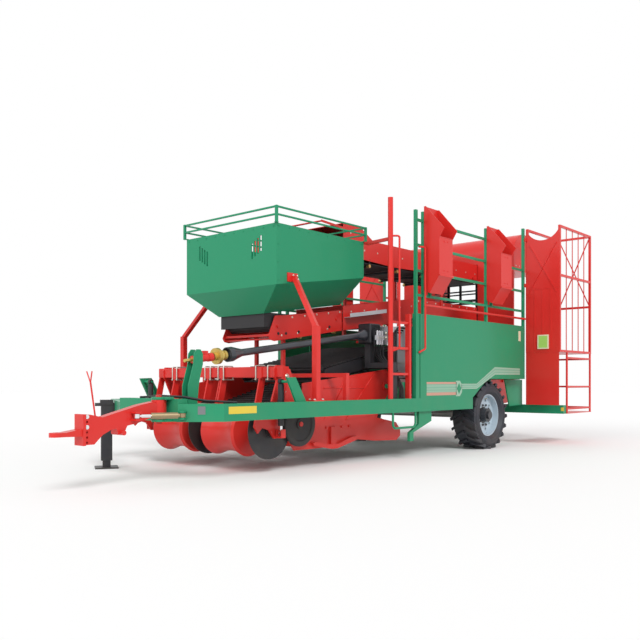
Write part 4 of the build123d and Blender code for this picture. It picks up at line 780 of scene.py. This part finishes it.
def dressControls():
    # double spool valve on a plate beside the gearbox, with bright coils above and below
    d = valveDetail
    x, y, z = d["backX"], d["backY"], d["backZ"]
    keep(boxMesh((x[0], y[0], z[0]), (x[1], y[1], z[1])), "valvePlate", "dark_steel")
    x, z = d["bodyX"], d["bodyZ"]
    face, middle = y[1] + d["bodyDepth"], y[1] + d["bodyDepth"] / 2
    keep(boxMesh((x[0], y[1], z[0]), (x[1], face, z[1])), "valveBody", "galvanised")
    ends = [(z[1], z[1] + d["coilLength"], upward), (z[0], z[0] - d["coilLength"], downward)]
    coils = [[(coilX, middle, start), (coilX, middle, end)]
             for start, end, facing in ends for coilX in d["coilX"]]
    keep(tubeMesh(coils, d["coilRadius"]), "valveCoils", "galvanised")
    nuts = [((coilX, middle, end), facing) for start, end, facing in ends for coilX in d["coilX"]]
    boltSpots("valveCoilNuts", nuts, "small", "chrome")
    plugs = [((coilX, face, (z[0] + z[1]) / 2), left) for coilX in d["coilX"]]
    boltSpots("valveBodyPlugs", plugs, "small")


dressControls()
print("hydraulics dressed")


# conveyors: bolts of the side plates, near-black discs painted as the shade inside the holes of the side
# plates, and the return rollers under the belts

unloadDetail = {
    "front": 1.540, "frontZ": 1.560, "rise": 0.456, "run": 3.240,
    "rows": [(1.10, 0.24, 0.262, 5), (1.30, 0.30, 0.045, 4)],
    # places of the holes, which are not cut but drawn as near-black discs of painted shade
    "holes": [(1.36, 1.660), (1.22, 1.668), (0.98, 1.70), (0.36, 1.80)],
}


def unloadBase(x):
    # height of the unloading conveyor's lower edge, which rises to the rear
    d = unloadDetail
    return d["frontZ"] + (d["front"] - x) * d["rise"] / d["run"]


def dressUnloading():
    d = unloadDetail
    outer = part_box("unload_frame")[1].y
    spots = []
    for first, gap, up, count in d["rows"]:
        spots += [(x, outer, unloadBase(x) + up) for x in [first - gap * n for n in range(count)]]
    places = spotsOn("unload_frame", spots, left)
    places += spotsOn("unload_frame", [flip(spot) for spot in spots], right)
    boltSpots("unloadBolts", places, "small")
    # painted shade: the holes are not cut, near-black rubber discs on the plate stand for the dark inside
    # them
    holes = [(x, outer, z) for x, z in d["holes"]]
    boltSpots("unloadHoleShades", spotsOn("unload_frame", holes, left), "middle", "rubber")


frameRows = {
    "tableBolts": ("picking_frame", [((-1.80, 0.45, 2.325), (-3.55, 0.45, 2.325), 8),
                                     ((-1.80, 0.45, 2.115), (-3.55, 0.45, 2.115), 8),
                                     ((-0.10, 0.45, 2.04), (-1.60, 0.45, 2.23), 6)]),
    "fillBolts": ("fill_frame", [((-0.10, 0.438, 2.95), (-3.60, 0.438, 2.95), 12),
                                 ((-0.10, 0.438, 3.16), (-3.60, 0.438, 3.16), 12)]),
}


def dressFrames():
    for name, (nodeName, lines) in frameRows.items():
        places = []
        for side, label, facing in bothSides:
            places += rowsOn(nodeName, lines, side, facing)
        boltSpots(name, places, "small")


returnDetail = {"along": (0.90, 0.20, -0.50), "belowBase": 0.012, "ends": (0.40, 0.35), "endRadius": 0.022,
                "tubeHalf": 0.35, "tubeRadius": 0.0198, "carriers": "Lugs", "carrierAt": (0.385, 0.385),
                "carrierUp": 0.032, "carrierRod": 0.008, "carrierFinish": "red"}
fillDetail = {"along": (-0.55, -1.25, -1.95, -2.65), "z": 2.74, "ends": (0.436, 0.386), "endRadius": 0.026,
              "tubeHalf": 0.39, "tubeRadius": 0.020, "carriers": "Hangers", "carrierAt": (0.425, 0.432),
              "carrierUp": 0.10, "carrierRod": 0.008, "carrierFinish": "dark_steel"}


def dressRollers(name, axles, d):
    # axles: (x, z); brass ends, a plain tube between them and a carrier at each side
    sides = [(x, z, side) for x, z in axles for side in (1, -1)]
    outer, inner = d["ends"]
    ends = [[(x, side * outer, z), (x, side * inner, z)] for x, z, side in sides]
    keep(tubeMesh(ends, d["endRadius"]), name + "Ends", "brass")
    tubes = [[(x, -d["tubeHalf"], z), (x, d["tubeHalf"], z)] for x, z in axles]
    keep(tubeMesh(tubes, d["tubeRadius"]), name + "s", "dark_steel")
    foot, head = d["carrierAt"]
    carriers = [[(x, side * foot, z), (x, side * head, z + d["carrierUp"])] for x, z, side in sides]
    keep(tubeMesh(carriers, d["carrierRod"]), name + d["carriers"], d["carrierFinish"])


dressUnloading()
dressFrames()
dressRollers("returnRoller", [(x, unloadBase(x) - returnDetail["belowBase"]) for x in returnDetail["along"]],
             returnDetail)
dressRollers("fillRoller", [(x, fillDetail["z"]) for x in fillDetail["along"]], fillDetail)
print("conveyors dressed")


# rubber skirt between the hopper and the floor belt, and the braces of the hopper

skirtDetail = {
    "thick": 0.008, "lap": 0.02, "drop": 0.165, "rearDrop": 0.105, "half": 0.405, "front": 1.58, "rear": 0.15,
    "braces": [[(1.50, 0.862, 2.262), (1.70, 0.655, 2.148)], [(1.20, -0.862, 2.262), (1.625, -0.655, 2.148)]],
    "braceRadius": 0.013,
}


def dressFunnel():
    d = skirtDetail
    front, rear, half, thick = d["front"], d["rear"], d["half"], d["thick"]
    top, low, rearLow = hopperLow.z + d["lap"], hopperLow.z - d["drop"], hopperLow.z - d["rearDrop"]
    keep(prism(sheet((-half, top), (half, low)), "x", front, front + thick), "funnelSkirtFront", "rubber")
    outline = [(front, top), (rear, top), (rear, rearLow), (front, low)]
    for side, label, facing in bothSides:
        mesh = prism(outline, "y", *sorted((side * (half - thick), side * half)))
        keep(mesh, "funnelSkirt" + label, "rubber")
    keep(tubeMesh(d["braces"], d["braceRadius"]), "funnelBraces", "green")


dressFunnel()
print("funnel dressed")


# bolts and rivets dropped on to the carrying pieces; arm, wings, hood and cage are mirrored to the right

steelDetail = {
    "arm": [(1.96, 1.04, 1.108), (1.895, 1.04, 0.932)],
    "hitch": [(4.425, 0.980, 0.624), (4.425, 0.980, 0.720)],
    "footX": (1.72, 1.42), "footAlong": 0.070, "footY": (1.363, 1.437), "footZ": 0.83, "footReach": 0.05,
    "claspX": (1.46, 1.53), "claspY": 0.86, "claspZ": (2.285, 2.345), "claspReach": 0.2,
    "chuteX": (-0.56, -0.65, -2.30, -2.38), "chuteY": 1.7, "chuteZ": (2.55, 2.95), "chuteReach": 0.4,
    "wings": [((-3.60, 0.50, 1.65), (-3.60, 0.50, 2.88), 8), ((-3.60, 1.09, 1.65), (-3.60, 1.09, 2.88), 8),
              ((-3.60, 0.56, 2.9), (-3.60, 1.05, 2.9), 4)],
    "hood": [((-3.75, 1.10, 3.05), (-4.50, 1.10, 3.05), 7)],
    "cage": [((-3.45, 1.53, 1.62), (-3.45, 1.53, 3.30), 9), ((-3.45, 1.99, 1.62), (-3.45, 1.99, 3.30), 9)],
}


def dressSteel():
    d = steelDetail
    arms = spotsOn("head_frame", d["arm"], left)
    arms += spotsOn("head_frame", [flip(spot) for spot in d["arm"]], right)
    boltSpots("armBolts", arms, "large", "zinc", "digging_head")
    boltSpots("hitchBolts", [(spot, left) for spot in d["hitch"]], "middle", "chrome", "drawbar_arm")
    feet = [(x + along, side * y, d["footZ"]) for x, side in zip(d["footX"], (1, -1))
            for along in (-d["footAlong"], d["footAlong"]) for y in d["footY"]]
    boltSpots("strutFootBolts", spotsOn("hopper_struts", feet, upward, d["footReach"]), "middle")
    clasp = [(x, d["claspY"], z) for x in d["claspX"] for z in d["claspZ"]]
    boltSpots("strutHeadBolts", spotsOn("hopper_struts", clasp, left, d["claspReach"]), "small")
    chute = [(x, d["chuteY"], z) for x in d["chuteX"] for z in d["chuteZ"]]
    boltSpots("chuteBolts", spotsOn("chutes", chute, left, d["chuteReach"]), "small", "red")
    wings, hood, cage = [], [], []
    for side, label, facing in bothSides:
        wings += rowsOn("elevator_housing", d["wings"], side, ahead)
        hood += rowsOn("elevator_housing", d["hood"], side, facing)
        cage += rowsOn("rear_cage_" + label.lower(), d["cage"], side, ahead)
    boltSpots("wingRivets", wings, "rivet", "red")
    boltSpots("hoodBolts", hood, "small")
    boltSpots("cageRivets", cage, "rivet", "red")


dressSteel()


ribDetail = {"rod": 0.009, "steps": 9, "seekFrom": 1.0, "biggestJump": 0.02,
             "lines": [((0.711, 1.117), (0.951, 0.813)), ((0.204, 1.093), (0.504, 0.805)),
                       ((1.16, 0.964), (0.36, 0.964))]}


def dressHeadSides():
    # stiffening ribs and one seam on the covers of the digging head
    d = ribDetail
    for side, label, facing in bothSides:
        runs = []
        for start, end in d["lines"]:
            spots = []
            for n in range(d["steps"]):
                share = n / (d["steps"] - 1)
                x, z = [a + share * (b - a) for a, b in zip(start, end)]
                spot = onFace("head_sides", (x, side * d["seekFrom"], z), facing)
                if spot is not None and (not spots or abs(spot.y - spots[-1].y) < d["biggestJump"]):
                    spots.append(spot)
            if len(spots) > 2:
                runs.append([tuple(spot) for spot in spots])
        keep(tubeMesh(runs, d["rod"]), "coverRibs" + label, "red", "digging_head")


dressHeadSides()
print("fasteners placed")


# blank plates at the rear and grip bars of the walkways

rearDetail = {
    "cageSeek": (-3.40, 1.775, 1.70), "border": ((1.680, 1.585), (1.870, 1.816)), "borderThick": 0.018,
    "inner": ((1.700, 1.605), (1.850, 1.796)), "innerThick": 0.001,
    "beamSeek": (-3.50, 2.02, 0.59), "tail": ((2.0, 0.565), (2.05, 0.625)), "tailThick": 0.002,
}


def dressRear():
    d = rearDetail
    cage = onFace("rear_cage_left", d["cageSeek"], ahead).x
    border = cage + d["borderThick"]
    keep(prism(sheet(*d["border"]), "x", cage, border), "cagePlateBorder", "cream")
    keep(prism(sheet(*d["inner"]), "x", border, border + d["innerThick"]), "cagePlate", "lime_plate")
    beam = onFace("main_frame", d["beamSeek"], ahead).x
    keep(prism(sheet(*d["tail"]), "x", beam, beam + d["tailThick"]), "beamEndPlate", "yellow_plate")


dressRear()


gripDetail = {"endGap": 0.15, "spacing": 0.09, "size": (0.012, 0.46, 0.005), "y": 1.10, "proud": 0.001,
              "seekY": 1.15, "reach": 0.6}


def dressWalkways():
    d = gripDetail
    low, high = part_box("platforms")
    count = int((high.x - low.x - 2 * d["endGap"]) / d["spacing"])
    for side, label, facing in bothSides:
        top = onFace("platforms", ((low.x + high.x) / 2, side * d["seekY"], high.z), upward, d["reach"]).z
        slatRow("gripBars" + label, count, (low.x + d["endGap"], side * d["y"], top + d["proud"]),
                (d["spacing"], 0.0, 0.0), d["size"], "bare_steel")


dressWalkways()


# tyres: moulded rings on the side walls; rims: valve stems

ringDetail = {"radii": (0.452, 0.405), "rod": 0.004, "corners": 48, "reach": 0.2}
stemDetail = {"footIn": 0.125, "tipIn": 0.080, "footUp": 0.25, "tipUp": 0.262, "radius": 0.005}


def dressTyre(side, label, facing):
    d, stem = ringDetail, stemDetail
    tyre, wheel = "tyre_" + label.lower(), "wheel_" + label.lower()
    low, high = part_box(tyre)
    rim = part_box("rim_" + label.lower())
    x, z, edge = (low.x + high.x) / 2, (rim[0].z + rim[1].z) / 2, high.y if side > 0 else low.y
    rings = []
    for radius in d["radii"]:
        wall = onFace(tyre, (x, edge, z + radius), facing, d["reach"]).y
        rings.append(circle((x, wall, z), radius, d["corners"]))
    keep(tubeMesh(rings, d["rod"], True), "sideWallRings" + label, "tyre", wheel)
    foot = (x, edge - side * stem["footIn"], z + stem["footUp"])
    tip = (x, edge - side * stem["tipIn"], z + stem["tipUp"])
    keep(tubeMesh([[foot, tip]], stem["radius"]), "valveStem" + label, "brass", wheel)


for side, label, facing in bothSides:
    dressTyre(side, label, facing)
print("rear, walkways and tyres dressed")


# camera, lamps, world and floor

studio = {
    "cameraAt": (8.20, 7.15, 1.04), "lookAlong": (-0.7513, -0.66, 0.0), "lens": 42.2, "shiftY": 0.097,
    "clipEnd": 200, "keyPower": 1.75, "keyTurn": (52, 0, 152), "keyAngle": 20,
    "fillPower": 0.95, "fillTurn": (62, 0, 84), "fillAngle": 50,
    "worldPower": 0.56, "floorHalf": 60.0, "floorColour": (0.96, 0.96, 0.96), "floorRough": 0.9,
}


def addSun(name, power, turn, angle):
    lamp = bpy.data.objects.new(name, bpy.data.lights.new(name, "SUN"))
    lamp.data.energy = power
    lamp.data.angle = math.radians(angle)
    lamp.rotation_euler = [math.radians(value) for value in turn]
    bpy.context.scene.collection.objects.link(lamp)


def whiteToCamera(tree, shaderSocket, output):
    # what the camera, mirrors and glass see is plain white; the light on the object stays as set
    path = addNode(tree, "ShaderNodeLightPath")
    through = addNode(tree, "ShaderNodeMath", operation="MAXIMUM")
    wire(tree, path.outputs["Is Camera Ray"], through.inputs[0])
    wire(tree, path.outputs["Is Transmission Ray"], through.inputs[1])
    either = addNode(tree, "ShaderNodeMath", operation="MAXIMUM")
    wire(tree, through.outputs[0], either.inputs[0])
    wire(tree, path.outputs["Is Glossy Ray"], either.inputs[1])
    white = addNode(tree, "ShaderNodeBackground")
    white.inputs["Color"].default_value = (1, 1, 1, 1)
    white.inputs["Strength"].default_value = 1.0
    mix = addNode(tree, "ShaderNodeMixShader")
    wire(tree, either.outputs[0], mix.inputs[0])
    wire(tree, shaderSocket, mix.inputs[1])
    wire(tree, white.outputs[0], mix.inputs[2])
    wire(tree, mix.outputs[0], output)


def makeStudio():
    d = studio
    camera = bpy.data.objects.new("camera", bpy.data.cameras.new("camera"))
    camera.data.lens = d["lens"]
    camera.data.shift_y = d["shiftY"]
    camera.data.clip_end = d["clipEnd"]
    camera.location = d["cameraAt"]
    camera.rotation_euler = Vector(d["lookAlong"]).to_track_quat("-Z", "Y").to_euler()
    bpy.context.scene.collection.objects.link(camera)
    bpy.context.scene.camera = camera
    addSun("keyLamp", d["keyPower"], d["keyTurn"], d["keyAngle"])
    addSun("fillLamp", d["fillPower"], d["fillTurn"], d["fillAngle"])
    bpy.context.scene.view_settings.view_transform = "Standard"
    world = bpy.data.worlds.new("studioWorld")
    world.use_nodes = True
    bpy.context.scene.world = world
    back = world.node_tree.nodes["Background"]
    back.inputs["Color"].default_value = (1, 1, 1, 1)
    back.inputs["Strength"].default_value = d["worldPower"]
    whiteToCamera(world.node_tree, back.outputs[0], world.node_tree.nodes["World Output"].inputs["Surface"])
    half = d["floorHalf"]
    corners = [(x, y, 0) for x, y in sheet((-half, -half), (half, half))]
    mesh = bpy.data.meshes.new("floor")
    mesh.from_pydata(corners, [], [(0, 1, 2, 3)])
    floor = bpy.data.objects.new("floor", mesh)
    bpy.context.scene.collection.objects.link(floor)
    material = bpy.data.materials.new("paleFloor")
    material.use_nodes = True
    shader = material.node_tree.nodes["Principled BSDF"]
    shader.inputs["Base Color"].default_value = (*d["floorColour"], 1)
    shader.inputs["Roughness"].default_value = d["floorRough"]
    mesh.materials.append(material)


makeStudio()
print("studio ready")
